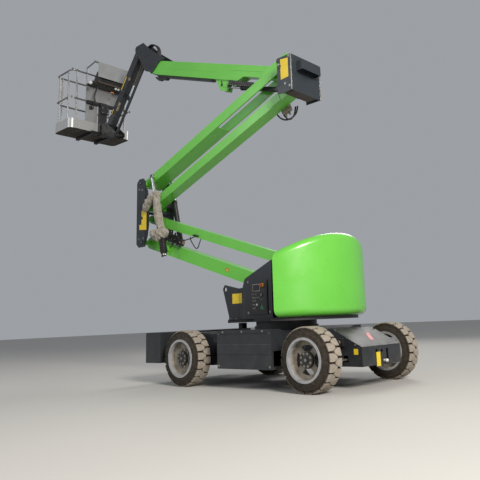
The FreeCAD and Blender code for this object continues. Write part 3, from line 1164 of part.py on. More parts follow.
def platformSupport():
    low = "-rotatorHeight / 2 - rotatorCap - fitGap"
    caps = [rod("cap%d" % index, ("0", "0", z), "rotatorRadius", "rotatorCap")
            for index, z in enumerate((low, "rotatorHeight / 2 + fitGap"))]
    arms = [box("capArm%d" % index, ("0", "-rotatorRadius", z),
                ("rotatorRadius + bossWall", "2 * rotatorRadius", "rotatorCap"))
            for index, z in enumerate((low, "rotatorHeight / 2 + fitGap"))]
    post = box("post", ("rotatorRadius + clampGap", "-rotatorRadius", low),
               ("platformBack - rotatorRadius - clampGap", "2 * rotatorRadius",
                "supportRise - (%s)" % low))
    cross = box("supportCross", ("platformBack - supportDepth", "-supportHalfWidth",
                                 "supportRise - supportDepth"),
                ("supportDepth", "2 * supportHalfWidth", "supportDepth"))
    beams = [box("floorBeam%d" % side, ("platformBack - supportDepth",
                                        "%d * floorBeamSide - floorBeamWidth / 2" % side,
                                        "-floorDrop - supportDepth"),
                 ("platformDepth + supportDepth - floorBeamWidth", "floorBeamWidth", "supportDepth"))
             for side in (-1, 1)]
    tie = box("floorTie", ("platformBack - supportDepth", "-floorBeamSide", "-floorDrop - supportDepth"),
              ("supportDepth", "2 * floorBeamSide", "supportDepth"))
    return piece(join("platformSupport", caps + arms + [post, cross, tie] + beams), "platform_support",
                 platformPlace())


def roundCorners(name, base, radius):
    # rounds the upright edges of a box
    doc.recompute()
    rounded = doc.addObject("Part::Fillet", name)
    rounded.Base = base
    rounded.Edges = [(index, value(radius), value(radius)) for index, edge in enumerate(base.Shape.Edges, 1)
                     if edge.BoundBox.XLength == edge.BoundBox.YLength]
    return rounded


def platformFloor():
    # its corners follow the bends of the rails
    inner = "railBend + railRadius"
    base = box("floorPlate", ("platformBack", "-platformWidth / 2", "-floorDrop"),
               ("platformDepth", "platformWidth", "floorThick"))
    wall = box("toeOuter", ("platformBack", "-platformWidth / 2", "-floorDrop"),
               ("platformDepth", "platformWidth", "floorThick + toeHeight"))
    room = box("toeInner", ("platformBack + toeThick", "toeThick - platformWidth / 2", "-floorDrop - 1"),
               ("platformDepth - 2 * toeThick", "platformWidth - 2 * toeThick",
                "floorThick + toeHeight + 2"))
    board = cut("toeBoard", roundCorners("toeRounded", wall, inner + " + toeThick"),
                [roundCorners("toeRoom", room, inner)])
    plate = roundCorners("floorRounded", base, inner + " + toeThick")
    return piece(join("platformFloor", [plate, board]), "platform_floor", platformPlace())


def rails():
    # bent tubes just inside the toe board; the left end's middle rail is the drop bar
    floor = "-floorDrop + floorThick"
    back = "(platformBack + toeThick + railRadius)"
    front = "(platformBack + platformDepth - toeThick - railRadius)"
    side = "(platformWidth / 2 - toeThick - railRadius)"
    along = Vector(1, 0, 0)
    across = Vector(0, 1, 0)
    posts = [(x, "%s(%s - postInset)" % (sign, side)) for x in (back, front) for sign in ("-", "")]
    posts += [(back + " + postInset", side), (front + " - postInset", side), (front, "0")]
    parts = [rod("railPost%d" % index, (x, y, floor), "postRadius", "topRail")
             for index, (x, y) in enumerate(posts)]
    for level, height in enumerate(("midRail", "topRail")):
        z = "%s + %s" % (floor, height)
        for index, x in enumerate((back, front)):
            parts.append(rod("railLong%d%d" % (level, index), (x, "railBend - " + side, z), "railRadius",
                             "2 * (%s - railBend)" % side, across))
        # sides that have this rail, with the turn of its bend at the back and at the front
        ends = (("-", 180, 270), ("", 90, 0)) if height == "topRail" else (("-", 180, 270),)
        for sign, backTurn, frontTurn in ends:
            tag = "%d%d" % (level, backTurn)
            parts.append(rod("railShort" + tag, (back + " + railBend", sign + side, z), "railRadius",
                             "%s - %s - 2 * railBend" % (front, back), along))
            for x, turn in ((back + " + railBend", backTurn), (front + " - railBend", frontTurn)):
                bend = doc.addObject("Part::Torus", "railBend%d%d" % (level, turn))
                bind(bend, "Radius1", "railBend")
                bind(bend, "Radius2", "railRadius")
                bend.Angle3 = 90
                bend.Placement = Placement(Vector(), Rotation(Vector(0, 0, 1), turn))
                for prop, text in zip("xyz", (x, "%s(%s - railBend)" % (sign, side), z)):
                    bind(bend, "Placement.Base." + prop, text)
                parts.append(bend)
    # the console's guard stands on two posts of the back rail and leans out behind it
    lean = Vector(-value("guardBack + " + back), 0, value("guardTop - guardPostTop"))
    for index, y in enumerate(("guardLeft", "-guardRight")):
        parts.append(rod("guardPost%d" % index, (back, y, floor), "postRadius",
                         "guardPostTop - (%s)" % floor))
        parts.append(rod("guardArm%d" % index, (back, y, "guardPostTop - guardRadius"), "guardRadius",
                         "%.4f" % lean.Length, lean))
    parts.append(rod("guardCross", ("-guardBack", "-guardRight - railRadius", "guardTop - guardRadius"),
                     "railRadius", "guardLeft + guardRight + 2 * railRadius", across))
    level = floor + " + midRail"
    parts.append(rod("dropPin", (back + " + postInset", side, level), "gatePin",
                     "postRadius + 2 * gateRadius + pinHead", across))
    parts.append(box("dropSaddle", (front + " - postInset - gateRadius", side,
                                    level + " - gateRadius - fitGap - gatePin"),
                     ("2 * gateRadius", "postRadius + 2 * gateRadius", "gatePin")))
    piece(join("rails", parts), "platform_rails", platformPlace())


def platformSheets():
    # guard sheet behind the console, and the sheet on the back rails' posts
    guard = slab("guardSheet", [
        ("guardSheetLeft", "guardSheetFoot"), ("guardSheetLeft", "guardTop"), ("-guardRight", "guardTop"),
        ("-guardRight", "guardSheetFoot")], "sheetThick", "YZ_Plane")
    piece(guard, "platform_guard", Placement(
        rotator - Vector(value("guardBack + railRadius + sheetThick / 2"), 0, 0), Rotation()))
    toeTop = "floorThick - floorDrop + toeHeight"
    back = slab("backSheet", [
        ("guardLeft + railRadius", toeTop), ("guardLeft + railRadius", "consoleFoot - trayThick"),
        ("-guardRight - railRadius", "consoleFoot - trayThick"), ("-guardRight - railRadius", "panelSplit"),
        ("panelSide", "panelSplit"), ("panelSide", toeTop)], "sheetThick", "YZ_Plane")
    piece(back, "platform_back_sheet",
          Placement(rotator + Vector(value("platformBack + toeThick - sheetThick / 2"), 0, 0), Rotation()))


def dropBar():
    # drawn from its hinge on the back post of the left end; it lies against both posts
    beside = "postRadius + fitGap"
    across = Vector(0, 1, 0)
    length = "(platformDepth - 2 * toeThick - railRadius - 2 * postInset)"
    bar = rod("dropTube", ("0", beside + " + gateRadius", "0"), "gateRadius", length, Vector(1, 0, 0))
    eye = rod("dropEye", ("0", beside + " + gateEyeInset", "0"), "gateEye",
              "2 * (gateRadius - gateEyeInset)", across)
    bore = rod("dropBore", ("0", "0", "0"), "gatePin + fitGap", "armReach", across)
    piece(cut("dropBar", join("dropWhole", [bar, eye]), [bore]), "platform_gate", Placement(
        rotator + Vector(value("platformBack + toeThick + railRadius + postInset"),
                         value("platformWidth / 2 - toeThick - railRadius"),
                         value("midRail + floorThick - floorDrop")), Rotation()))


def console():
    # box with a sloping face on a tray between the guard's posts
    body = slab("consoleBody", [
        ("-consoleBack", "consoleFoot"), ("consoleDepth - consoleBack", "consoleFoot"),
        ("consoleDepth - consoleBack", "(consoleFoot + consoleTop) / 2"),
        ("consoleDepth / 2 - consoleBack", "consoleTop"), ("consoleBack / 4 - consoleBack", "consoleTop"),
        ("-consoleBack", "consoleTop - consoleBack / 4")], "consoleWidth")
    bind(body, "Placement.Base.y", "-consoleShift")
    tray = box("consoleTray", ("-consoleBack", "-guardRight - railRadius", "consoleFoot - trayThick"),
               ("consoleBack + platformBack + toeThick", "guardLeft + guardRight + 2 * railRadius",
                "trayThick"))
    return piece(join("console", [body, tray]), "platform_console", platformPlace())


# Cylinders

def cylinders():
    bore = "pinRadius + fitGap"
    small = "smallPin + fitGap"
    for name, foot, head, settings in (
            ("lift", liftFoot, liftHead, ("liftBarrel", "liftRod", "liftBarrelLength",
                                          ("liftBarrel", "liftEyeHalf", bore), ("liftSide", "-liftSide"))),
            ("luff", luffFoot, luffHead, ("luffBarrel", "luffRod", "luffBarrelLength",
                                          ("luffBarrel", "luffEyeHalf", small), ("0",))),
            ("jib", jibFoot, jibHead, ("jibBarrel", "jibRod", "jibBarrelLength",
                                       ("jibBarrel", "jibEyeHalf", small), ("-jibRamSide",)))):
        line = head - foot
        reach = name + "Line"
        barrel, shaft, length, eye, sides = settings
        cases, stems = ram(name, barrel, shaft, length, reach, eye, sides)
        place = pitch(foot, math.degrees(math.atan2(line.z, line.x)))
        piece(together(name + "Barrels", cases), name + "_barrel", place)
        piece(together(name + "Rods", stems), name + "_rod", place)


for build in (chassisBeam, frontBox, sideBoxes, slewRing, frontAxle, rearAxle, steering, wheels, deck,
              cheeks, groundControls, hood, counterweight, lowerPair, middleKnuckle, upperPair,
              upperKnuckle, mainBoom, extension, jibHeadPlates, jib, platformBracket, platformSupport,
              platformFloor, rails, platformSheets, dropBar, console, cylinders):
    build()

doc.recompute()
shift = Placement(Vector(-machineMiddle, 0, 0), Rotation())
os.makedirs("parts", exist_ok=True)
for item in doc.Objects:
    if "Invalid" in item.State or "Error" in item.State:
        raise RuntimeError("%s did not build: %s" % (item.Name, item.State))
for item in pieces:
    item.Placement = shift.multiply(item.Placement)
doc.recompute()
faulty = [item.Label for item in pieces if item.Shape.isNull() or not item.Shape.isValid()]
if faulty:
    raise RuntimeError("no valid shape: " + ", ".join(faulty))
for item in pieces:
    item.Shape.exportStep("parts/%s.step" % item.Label)
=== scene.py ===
import bpy
import bmesh
import math
from mathutils import Matrix, Vector, noise


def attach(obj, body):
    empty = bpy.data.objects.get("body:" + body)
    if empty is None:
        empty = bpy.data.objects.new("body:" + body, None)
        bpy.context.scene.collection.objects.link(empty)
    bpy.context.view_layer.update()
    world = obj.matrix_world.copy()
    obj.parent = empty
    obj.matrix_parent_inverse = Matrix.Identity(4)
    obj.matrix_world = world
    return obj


# Articulating boom lift. Places are given as on the machine, in millimetres from the slewing
# axis on the ground: x forward, y to the left, z up. toFrame turns them into the frame's metres.
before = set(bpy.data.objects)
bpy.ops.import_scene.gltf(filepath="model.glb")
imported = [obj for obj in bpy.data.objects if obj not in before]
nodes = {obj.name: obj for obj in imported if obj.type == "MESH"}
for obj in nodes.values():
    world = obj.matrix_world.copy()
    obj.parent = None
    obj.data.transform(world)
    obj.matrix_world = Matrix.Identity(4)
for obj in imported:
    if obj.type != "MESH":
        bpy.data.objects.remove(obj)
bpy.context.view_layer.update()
slewAxis = 1910.066  # slewing axis behind the frame's origin


def toFrame(point):
    return Vector(((point[0] - slewAxis) / 1000, point[1] / 1000, point[2] / 1000))


def addObject(name, data):
    item = bpy.data.objects.new(name, data)
    bpy.context.collection.objects.link(item)
    return item


def armLine(x, z, angle, upwards=1):
    # gives place(along, side, rise) for an arm whose first pin is at x, z
    turn = math.radians(angle)
    ahead = Vector((math.cos(turn), 0, math.sin(turn)))
    above = Vector((-math.sin(turn), 0, math.cos(turn))) * upwards

    def place(along, side=0.0, rise=0.0):
        return Vector((x, 0, z)) + ahead * along + above * rise + Vector((0, side, 0))
    place.ahead, place.above = ahead, above
    return place


lowerArm = armLine(-250, 1110, 18.15)
lowerLink = armLine(-250, 1513, 18.15)
upperArm = armLine(2930, 3146, 160, -1)
upperLink = armLine(2930, 2746, 160, -1)
mainBoom = armLine(-330, 4172, 20.3)
jibArm = armLine(3330, 5790, -51.5)

# camera, as the photograph was taken
cameraView = {"place": (-5300, 5968, 778), "yaw": -48.822, "pitch": 12.329, "roll": -2.387,
              "lens": 44.37, "sensor": 36, "shiftX": -0.0951, "shiftY": -0.1012, "reach": 300}


def makeCamera(view):
    yaw, pitch, roll = (math.radians(view[key]) for key in ("yaw", "pitch", "roll"))
    ahead = Vector((math.cos(yaw) * math.cos(pitch), math.sin(yaw) * math.cos(pitch),
                    math.sin(pitch)))
    right = ahead.cross(Vector((0, 0, 1))).normalized()
    above = right.cross(ahead)
    across = math.cos(roll) * right + math.sin(roll) * above
    upward = -math.sin(roll) * right + math.cos(roll) * above
    data = bpy.data.cameras.new("photoCamera")
    data.lens = view["lens"]
    data.sensor_width = view["sensor"]
    data.shift_x, data.shift_y = view["shiftX"], view["shiftY"]
    data.clip_end = view["reach"]
    item = addObject("photoCamera", data)
    turn = Matrix((across, upward, -ahead)).transposed()
    item.matrix_world = Matrix.Translation(toFrame(view["place"])) @ turn.to_4x4()
    bpy.context.scene.camera = item


makeCamera(cameraView)
print("camera set")


# materials
class Finish:
    # small helper round a material's node tree
    def __init__(self, name):
        self.material = bpy.data.materials.new(name)
        self.material.use_nodes = True
        self.tree = self.material.node_tree
        self.shader = self.tree.nodes["Principled BSDF"]
        self.coords = self.node("ShaderNodeTexCoord").outputs["Object"]

    def node(self, kind, **settings):
        made = self.tree.nodes.new(kind)
        for key, setting in settings.items():
            setattr(made, key, setting)
        return made

    def put(self, socket, amount):
        if isinstance(amount, bpy.types.NodeSocket):
            self.tree.links.new(amount, socket)
        else:
            socket.default_value = amount

    def sum(self, operation, *amounts):
        made = self.node("ShaderNodeMath", operation=operation)
        for socket, amount in zip(made.inputs, amounts):
            self.put(socket, amount)
        return made.outputs[0]

    def cloud(self, scale, low=0.4, high=0.6, detail=4.0, coords=None, squeeze=None):
        # soft noise spread over low to high
        made = self.node("ShaderNodeTexNoise")
        where = coords or self.coords
        if squeeze:
            mapping = self.node("ShaderNodeMapping")
            mapping.inputs["Scale"].default_value = squeeze
            self.put(mapping.inputs["Vector"], where)
            where = mapping.outputs["Vector"]
        self.put(made.inputs["Vector"], where)
        made.inputs["Scale"].default_value = scale
        made.inputs["Detail"].default_value = detail
        return self.spread(made.outputs["Fac"], low, high)

    def spread(self, amount, low, high, first=0.0, last=1.0):
        made = self.node("ShaderNodeMapRange")
        self.put(made.inputs["Value"], amount)
        for name, number in (("From Min", low), ("From Max", high), ("To Min", first),
                             ("To Max", last)):
            made.inputs[name].default_value = number
        return made.outputs["Result"]

    def mix(self, amount, one, two):
        made = self.node("ShaderNodeMix", data_type="RGBA")
        self.put(made.inputs["Factor"], amount)
        for socket, colour in ((made.inputs["A"], one), (made.inputs["B"], two)):
            if isinstance(colour, bpy.types.NodeSocket):
                self.put(socket, colour)
            else:
                socket.default_value = (*colour, 1.0)
        return made.outputs["Result"]

    def upward(self):
        # one on faces that look up, zero on those that look down
        normal = self.node("ShaderNodeNewGeometry").outputs["Normal"]
        parts = self.node("ShaderNodeSeparateXYZ")
        self.put(parts.inputs[0], normal)
        return parts.outputs["Z"]

    def height(self):
        parts = self.node("ShaderNodeSeparateXYZ")
        self.put(parts.inputs[0], self.coords)
        return parts.outputs["Z"]

    def edges(self, radius):
        # where a rounded copy of the surface would turn away from it
        bevel = self.node("ShaderNodeBevel", samples=4)
        bevel.inputs["Radius"].default_value = radius
        flat = self.node("ShaderNodeNewGeometry").outputs["Normal"]
        dot = self.node("ShaderNodeVectorMath", operation="DOT_PRODUCT")
        self.put(dot.inputs[0], bevel.outputs["Normal"])
        self.put(dot.inputs[1], flat)
        return self.spread(dot.outputs["Value"], 0.98, 0.80)

    def bump(self, amount, strength, distance=0.001):
        made = self.node("ShaderNodeBump")
        made.inputs["Strength"].default_value = strength
        made.inputs["Distance"].default_value = distance
        self.put(made.inputs["Height"], amount)
        self.put(self.shader.inputs["Normal"], made.outputs["Normal"])

    def finish(self, colour, roughness, metallic=0.0, specular=0.5, coat=0.0):
        if isinstance(colour, bpy.types.NodeSocket):
            self.put(self.shader.inputs["Base Color"], colour)
        else:
            self.shader.inputs["Base Color"].default_value = (*colour, 1.0)
        self.put(self.shader.inputs["Roughness"], roughness)
        self.shader.inputs["Metallic"].default_value = metallic
        self.shader.inputs["Specular IOR Level"].default_value = specular
        self.shader.inputs["Coat Weight"].default_value = coat
        self.shader.inputs["Coat Roughness"].default_value = 0.12
        return self.material


dustColour = (0.30, 0.265, 0.22)
wheelPlace = {"axle": 1050, "side": 810, "height": 355}  # from the slewing axis, middle and ground


def paintFinish(name, colour, shade, roughness, dust, low, worn, coat=0.0, grain=0.12):
    # sprayed paint: clouded colour, dust on upper faces and near the ground, pale worn edges
    made = Finish(name)
    tone = made.mix(made.cloud(1.7, 0.35, 0.7), colour, shade)
    patches = made.cloud(9, 0.42, 0.72, 8)
    fine = made.cloud(140, 0.3, 0.8, 3)
    lying = made.sum("MULTIPLY", made.spread(made.upward(), 0.35, 0.95), dust)
    nearGround = made.sum("MULTIPLY", made.spread(made.height(), 0.75, 0.15), low)
    dusty = made.sum("MULTIPLY", made.sum("ADD", lying, nearGround),
                     made.sum("ADD", made.sum("MULTIPLY", patches, 0.7),
                              made.sum("MULTIPLY", fine, 0.3)))
    tone = made.mix(dusty, tone, dustColour)
    if worn:
        rubbed = made.sum("MULTIPLY", made.edges(0.004),
                          made.sum("MULTIPLY", made.cloud(22, 0.45, 0.62, 6), worn))
        tone = made.mix(rubbed, tone, tuple(min(1.0, 2.1 * part + 0.05) for part in colour))
    made.bump(made.sum("ADD", made.cloud(380, 0.2, 0.8, 2), made.sum("MULTIPLY", patches, 0.6)),
              grain, 0.0006)
    rough = made.sum("ADD", made.sum("MULTIPLY", dusty, 0.35),
                     made.spread(made.cloud(6, 0.3, 0.7), 0, 1, roughness - 0.05, roughness + 0.07))
    return made.finish(tone, rough, coat=coat)


def metalFinish(name, colour, shade, roughness, metallic, streak=(1, 1, 1), dust=0.0, grain=0.1):
    made = Finish(name)
    tone = made.mix(made.cloud(3, 0.35, 0.68, 6), colour, shade)
    lines = made.cloud(60, 0.3, 0.7, 5, squeeze=streak)
    tone = made.mix(made.sum("MULTIPLY", lines, 0.35), tone, shade)
    if dust:
        dusty = made.sum("MULTIPLY", made.cloud(14, 0.4, 0.75, 8), dust)
        tone = made.mix(dusty, tone, dustColour)
    made.bump(lines, grain, 0.0004)
    return made.finish(tone, made.spread(lines, 0, 1, roughness - 0.06, roughness + 0.1), metallic)


def underFinish(name, colour, paintedUndersideShade):
    # bright sheet whose faces that look down carry painted shade, dark brown with a soil-like mottle
    made = Finish(name)
    soil = made.cloud(5, 0.3, 0.7, 7)
    lines = made.cloud(50, 0.3, 0.7, 5, squeeze=(1, 1, 0.1))
    sheet = made.mix(made.sum("MULTIPLY", lines, 0.5), colour, tuple(part * 0.7 for part in colour))
    shadeAndSoil = made.mix(soil, paintedUndersideShade, tuple(part * 1.9 for part in paintedUndersideShade))
    downward = made.spread(made.upward(), -0.3, -0.7)
    tone = made.mix(downward, sheet, shadeAndSoil)
    made.bump(made.cloud(90, 0.3, 0.7, 4), 0.2, 0.0008)
    return made.finish(tone, made.spread(downward, 0, 1, 0.36, 0.75), 0.45)


def wheelRadius(made):
    # distance from the nearest wheel's axis; both axles are as far from the slewing axis
    parts = made.node("ShaderNodeSeparateXYZ")
    made.put(parts.inputs[0], made.coords)
    fromAxle = made.sum("SUBTRACT", made.sum("ABSOLUTE", made.sum(
        "ADD", parts.outputs["X"], slewAxis / 1000)), wheelPlace["axle"] / 1000)
    above = made.sum("SUBTRACT", parts.outputs["Z"], wheelPlace["height"] / 1000)
    outward = made.sum("SUBTRACT", made.sum("ABSOLUTE", parts.outputs["Y"]),
                       wheelPlace["side"] / 1000)
    squares = made.sum("ADD", made.sum("MULTIPLY", fromAxle, fromAxle),
                       made.sum("MULTIPLY", above, above))
    return made.sum("SQRT", squares), outward


def tyreFinish():
    # dusty tread, dark sidewalls with a scuffed ring at the rim
    made = Finish("tyreRubber")
    radius, outward = wheelRadius(made)
    patches = made.cloud(26, 0.3, 0.75, 8)
    fine = made.cloud(210, 0.3, 0.75, 4)
    rubber = made.mix(patches, (0.020, 0.016, 0.012), (0.050, 0.040, 0.030))
    tread = made.mix(patches, (0.33, 0.29, 0.24), (0.25, 0.215, 0.175))
    tread = made.mix(made.sum("MULTIPLY", fine, 0.35), tread, (0.16, 0.135, 0.11))
    worn = made.spread(radius, 0.337, 0.349)
    ring = made.sum("MULTIPLY", made.spread(radius, 0.262, 0.240),
                    made.sum("MULTIPLY", patches, 0.5))
    tone = made.mix(ring, rubber, (0.13, 0.11, 0.09))
    inner = made.spread(made.sum("ABSOLUTE", outward), 0.118, 0.104)
    tone = made.mix(made.sum("MULTIPLY", worn, inner), tone, tread)
    made.bump(made.sum("ADD", fine, made.sum("MULTIPLY", patches, 2.0)), 0.5, 0.002)
    return made.finish(tone, made.spread(fine, 0, 1, 0.78, 0.95), specular=0.25)


def rimFinish():
    # silver paint, bright lips, dust in the dish
    made = Finish("rimPaint")
    radius, outward = wheelRadius(made)
    patches = made.cloud(18, 0.35, 0.7, 8)
    silver = made.mix(patches, (0.40, 0.40, 0.41), (0.27, 0.27, 0.275))
    dish = made.mix(patches, (0.27, 0.235, 0.185), (0.15, 0.130, 0.105))
    hub = made.mix(patches, (0.018, 0.018, 0.020), (0.055, 0.048, 0.040))
    barrel = made.mix(made.spread(outward, 0.10, 0.07), silver, dish)
    tone = made.mix(made.spread(radius, 0.216, 0.212), silver, barrel)
    tone = made.mix(made.spread(radius, 0.094, 0.090), tone, hub)
    made.bump(made.cloud(120, 0.3, 0.8, 4), 0.15, 0.0008)
    return made.finish(tone, made.spread(patches, 0, 1, 0.32, 0.55), 0.25)


def clothFinish(name, colour, shade, weave=420):
    # woven hose sleeve: crossed threads, soiled folds
    made = Finish(name)
    soil = made.cloud(24, 0.35, 0.7, 8)
    tone = made.mix(soil, colour, shade)
    threads = []
    for axis in ("X", "Z"):
        wave = made.node("ShaderNodeTexWave", bands_direction=axis)
        wave.inputs["Scale"].default_value = weave / 6.28
        wave.inputs["Distortion"].default_value = 2.0
        made.put(wave.inputs["Vector"], made.coords)
        threads.append(wave.outputs["Fac"])
    woven = made.sum("ADD", *threads)
    tone = made.mix(made.sum("MULTIPLY", woven, 0.18), tone, tuple(part * 0.5 for part in colour))
    made.bump(woven, 0.35, 0.0008)
    made.shader.inputs["Sheen Weight"].default_value = 0.3
    return made.finish(tone, 0.9, specular=0.2)


def plainFinish(name, colour, roughness, shade=None, grain=0.1, specular=0.5, dust=0.12):
    # moulded plastic, rubber hose, label film
    made = Finish(name)
    tone = made.mix(made.cloud(30, 0.35, 0.7, 6), colour,
                    shade or tuple(part * 0.72 for part in colour))
    dusty = made.sum("MULTIPLY", made.cloud(55, 0.45, 0.8, 6), dust)
    tone = made.mix(dusty, tone, dustColour)
    made.bump(made.cloud(320, 0.3, 0.7, 3), grain, 0.0005)
    return made.finish(tone, made.spread(made.cloud(12, 0.3, 0.7), 0, 1, roughness - 0.05,
                                         roughness + 0.08), specular=specular)


green = paintFinish("greenPaint", (0.125, 0.47, 0.050), (0.112, 0.435, 0.045), 0.30, 0.03, 0.0,
                    0.15, coat=0.3)
dark = paintFinish("slatePaint", (0.011, 0.014, 0.018), (0.015, 0.018, 0.022), 0.42, 0.14, 0.06,
                   0.5)
chassisPaint = paintFinish("chassisPaint", (0.011, 0.014, 0.018), (0.016, 0.019, 0.023), 0.44,
                           0.22, 0.12, 0.6)
# slate paint made lighter as painted light: the sky lighting the upper knuckle's rear faces
paintedSkyLightSlate = paintFinish("paintedSkyLightSlate", (0.020, 0.026, 0.032), (0.025, 0.031, 0.037), 0.40,
                           0.14, 0.0, 0.6)
blackMetal = paintFinish("blackMetal", (0.006, 0.006, 0.007), (0.011, 0.010, 0.010), 0.45, 0.14,
                         0.2, 0.4)
rubber = tyreFinish()
rim = rimFinish()
chrome = metalFinish("ramSteel", (0.62, 0.63, 0.65), (0.48, 0.49, 0.51), 0.16, 1.0, (1, 1, 0.05))
zinc = metalFinish("zincSteel", (0.42, 0.41, 0.38), (0.25, 0.24, 0.22), 0.36, 0.9, dust=0.3)
aluminium = metalFinish("brightAluminium", (0.34, 0.34, 0.335), (0.22, 0.22, 0.215), 0.36, 0.85,
                        (1, 1, 0.08), 0.22)
# the dark brown is painted shade on the faces of the floor that look down
floorMetal = underFinish("floorAluminium", (0.46, 0.465, 0.46), (0.040, 0.033, 0.027))
sheetMetal = metalFinish("sheetAluminium", (0.38, 0.385, 0.39), (0.27, 0.275, 0.28), 0.42, 0.6,
                         (1, 0.1, 1), 0.22)
iron = plainFinish("castIron", (0.045, 0.045, 0.048), 0.7, grain=0.6)
plastic = plainFinish("blackPlastic", (0.012, 0.012, 0.013), 0.42)
hoseRubber = plainFinish("hoseRubber", (0.010, 0.010, 0.011), 0.5)
sleeveCloth = clothFinish("sleeveCloth", (0.33, 0.30, 0.25), (0.20, 0.175, 0.145))
pinkCloth = clothFinish("farSleeveCloth", (0.40, 0.33, 0.27), (0.27, 0.215, 0.17))
ramWrap = clothFinish("ramWrap", (0.095, 0.075, 0.058), (0.050, 0.040, 0.032))
yellow = plainFinish("yellowFilm", (0.68, 0.50, 0.018), 0.38, (0.60, 0.43, 0.015), 0.02)
white = plainFinish("whitePlastic", (0.62, 0.62, 0.60), 0.4)
red = plainFinish("redPlastic", (0.42, 0.030, 0.030), 0.35)
orange = plainFinish("orangePlastic", (0.48, 0.16, 0.03), 0.35)
greenMark = plainFinish("greenMark", (0.02, 0.22, 0.09), 0.4)
tan = plainFinish("tanBrass", (0.20, 0.155, 0.10), 0.5, (0.12, 0.09, 0.06), 0.3)
beige = plainFinish("beigeBlock", (0.30, 0.26, 0.20), 0.6, (0.19, 0.165, 0.13), 0.4)
brown = plainFinish("brownPanel", (0.045, 0.028, 0.017), 0.5)
darkGlass = plainFinish("displayGlass", (0.015, 0.018, 0.022), 0.12, grain=0.0)

nodeFinish = {
    "hood": green, "lower_arm": green, "lower_link": green, "upper_arm": green,
    "upper_link": green, "main_boom": green, "boom_extension": dark, "jib": dark,
    "jib_head": dark, "jib_link": dark, "jib_barrel": ramWrap, "jib_rod": chrome,
    "luff_barrel": blackMetal, "luff_rod": chrome, "lift_barrel": blackMetal, "lift_rod": chrome,
    "middle_knuckle": dark, "upper_knuckle": paintedSkyLightSlate, "knuckle_tray": paintedSkyLightSlate,
    # the turntable deck takes black paint as painted shade, standing in for the shadow under the hood
    "turntable_deck": blackMetal, "turntable_cheeks": dark, "ground_controls": plastic,
    "counterweight": iron, "slewing_ring": blackMetal, "chassis_beam": chassisPaint,
    "front_box": chassisPaint, "side_box_left": chassisPaint, "side_box_right": chassisPaint,
    "front_axle": blackMetal, "rear_axle": blackMetal, "tie_rod": zinc,
    "knuckle_left": blackMetal, "knuckle_right": blackMetal, "platform_bracket": blackMetal,
    "platform_support": blackMetal, "platform_floor": floorMetal, "platform_rails": aluminium,
    "platform_gate": aluminium, "platform_guard": sheetMetal, "platform_back_sheet": sheetMetal,
    "platform_console": plastic}
for place in ("front_left", "front_right", "rear_left", "rear_right"):
    nodeFinish["tyre_" + place] = rubber
    nodeFinish["rim_" + place] = rim
for name, item in nodes.items():
    item.data.materials.clear()
    item.data.materials.append(nodeFinish[name])
print("materials on", len(nodes), "nodes")


# forms are drawn in machine millimetres and finished by finishForm
def paintFaces(made, slot):
    for face in {face for vert in made for face in vert.link_faces}:
        face.material_index = slot


def addBlock(form, low, high, slot=0, turn=None):
    # block between two corners, turned about its middle
    made = bmesh.ops.create_cube(form, size=1)["verts"]
    low, high = Vector(low), Vector(high)
    stretch = Matrix.Diagonal((*(high - low), 1))
    spot = Matrix.Translation((low + high) / 2)
    bmesh.ops.transform(form, verts=made,
                        matrix=spot @ (turn.to_4x4() if turn else Matrix()) @ stretch)
    paintFaces(made, slot)


def addRod(form, start, end, radius, slot=0, sides=28, endRadius=None):
    start, end = Vector(start), Vector(end)
    line = end - start
    made = bmesh.ops.create_cone(form, cap_ends=True, segments=sides, radius1=radius,
                                 radius2=radius if endRadius is None else endRadius,
                                 depth=line.length)["verts"]
    turn = Vector((0, 0, 1)).rotation_difference(line.normalized()).to_matrix().to_4x4()
    bmesh.ops.transform(form, verts=made, matrix=Matrix.Translation((start + end) / 2) @ turn)
    paintFaces(made, slot)


def addSteps(form, x, z, side, steps):
    # round steps across the machine, each with its near and far end, radius, slot and sides
    for near, far, radius, slot, sides in steps:
        addRod(form, (x, side * near, z), (x, side * far, z), radius, slot, sides)


def addPlate(form, corners, push, slot=0):
    # flat outline pushed out along a vector
    push = Vector(push)
    near = [form.verts.new(Vector(corner)) for corner in corners]
    far = [form.verts.new(Vector(corner) + push) for corner in corners]
    faces = [form.faces.new(near), form.faces.new(far)]
    for index in range(len(near)):
        after = (index + 1) % len(near)
        faces.append(form.faces.new((near[index], near[after], far[after], far[index])))
    for face in faces:
        face.material_index = slot


def addBall(form, middle, radius, slot=0, squash=(1, 1, 1)):
    made = bmesh.ops.create_uvsphere(form, u_segments=20, v_segments=12, radius=radius)["verts"]
    bmesh.ops.transform(form, verts=made,
                        matrix=Matrix.Translation(middle) @ Matrix.Diagonal((*squash, 1)))
    paintFaces(made, slot)


def roundedOutline(corners, radius, steps=5):
    # outline in two coordinates with its corners rounded
    rounded = []
    count = len(corners)
    for index, corner in enumerate(corners):
        here = Vector(corner)
        before = (Vector(corners[index - 1]) - here).normalized()
        after = (Vector(corners[(index + 1) % count]) - here).normalized()
        for step in range(steps + 1):
            part = step / steps
            first = here + before * radius * (1 - part)
            last = here + after * radius * part
            rounded.append(first.lerp(last, part))
    return rounded


def finishForm(name, form, materials, body, bevel=1.5, levels=2, angle=32):
    # puts a drawn form into the frame as a piece of its body
    for vert in form.verts:
        vert.co = toFrame(vert.co)
    bmesh.ops.recalc_face_normals(form, faces=form.faces)
    mesh = bpy.data.meshes.new(name)
    form.to_mesh(mesh)
    form.free()
    return finishMesh(name, mesh, materials, body, bevel, levels, angle)


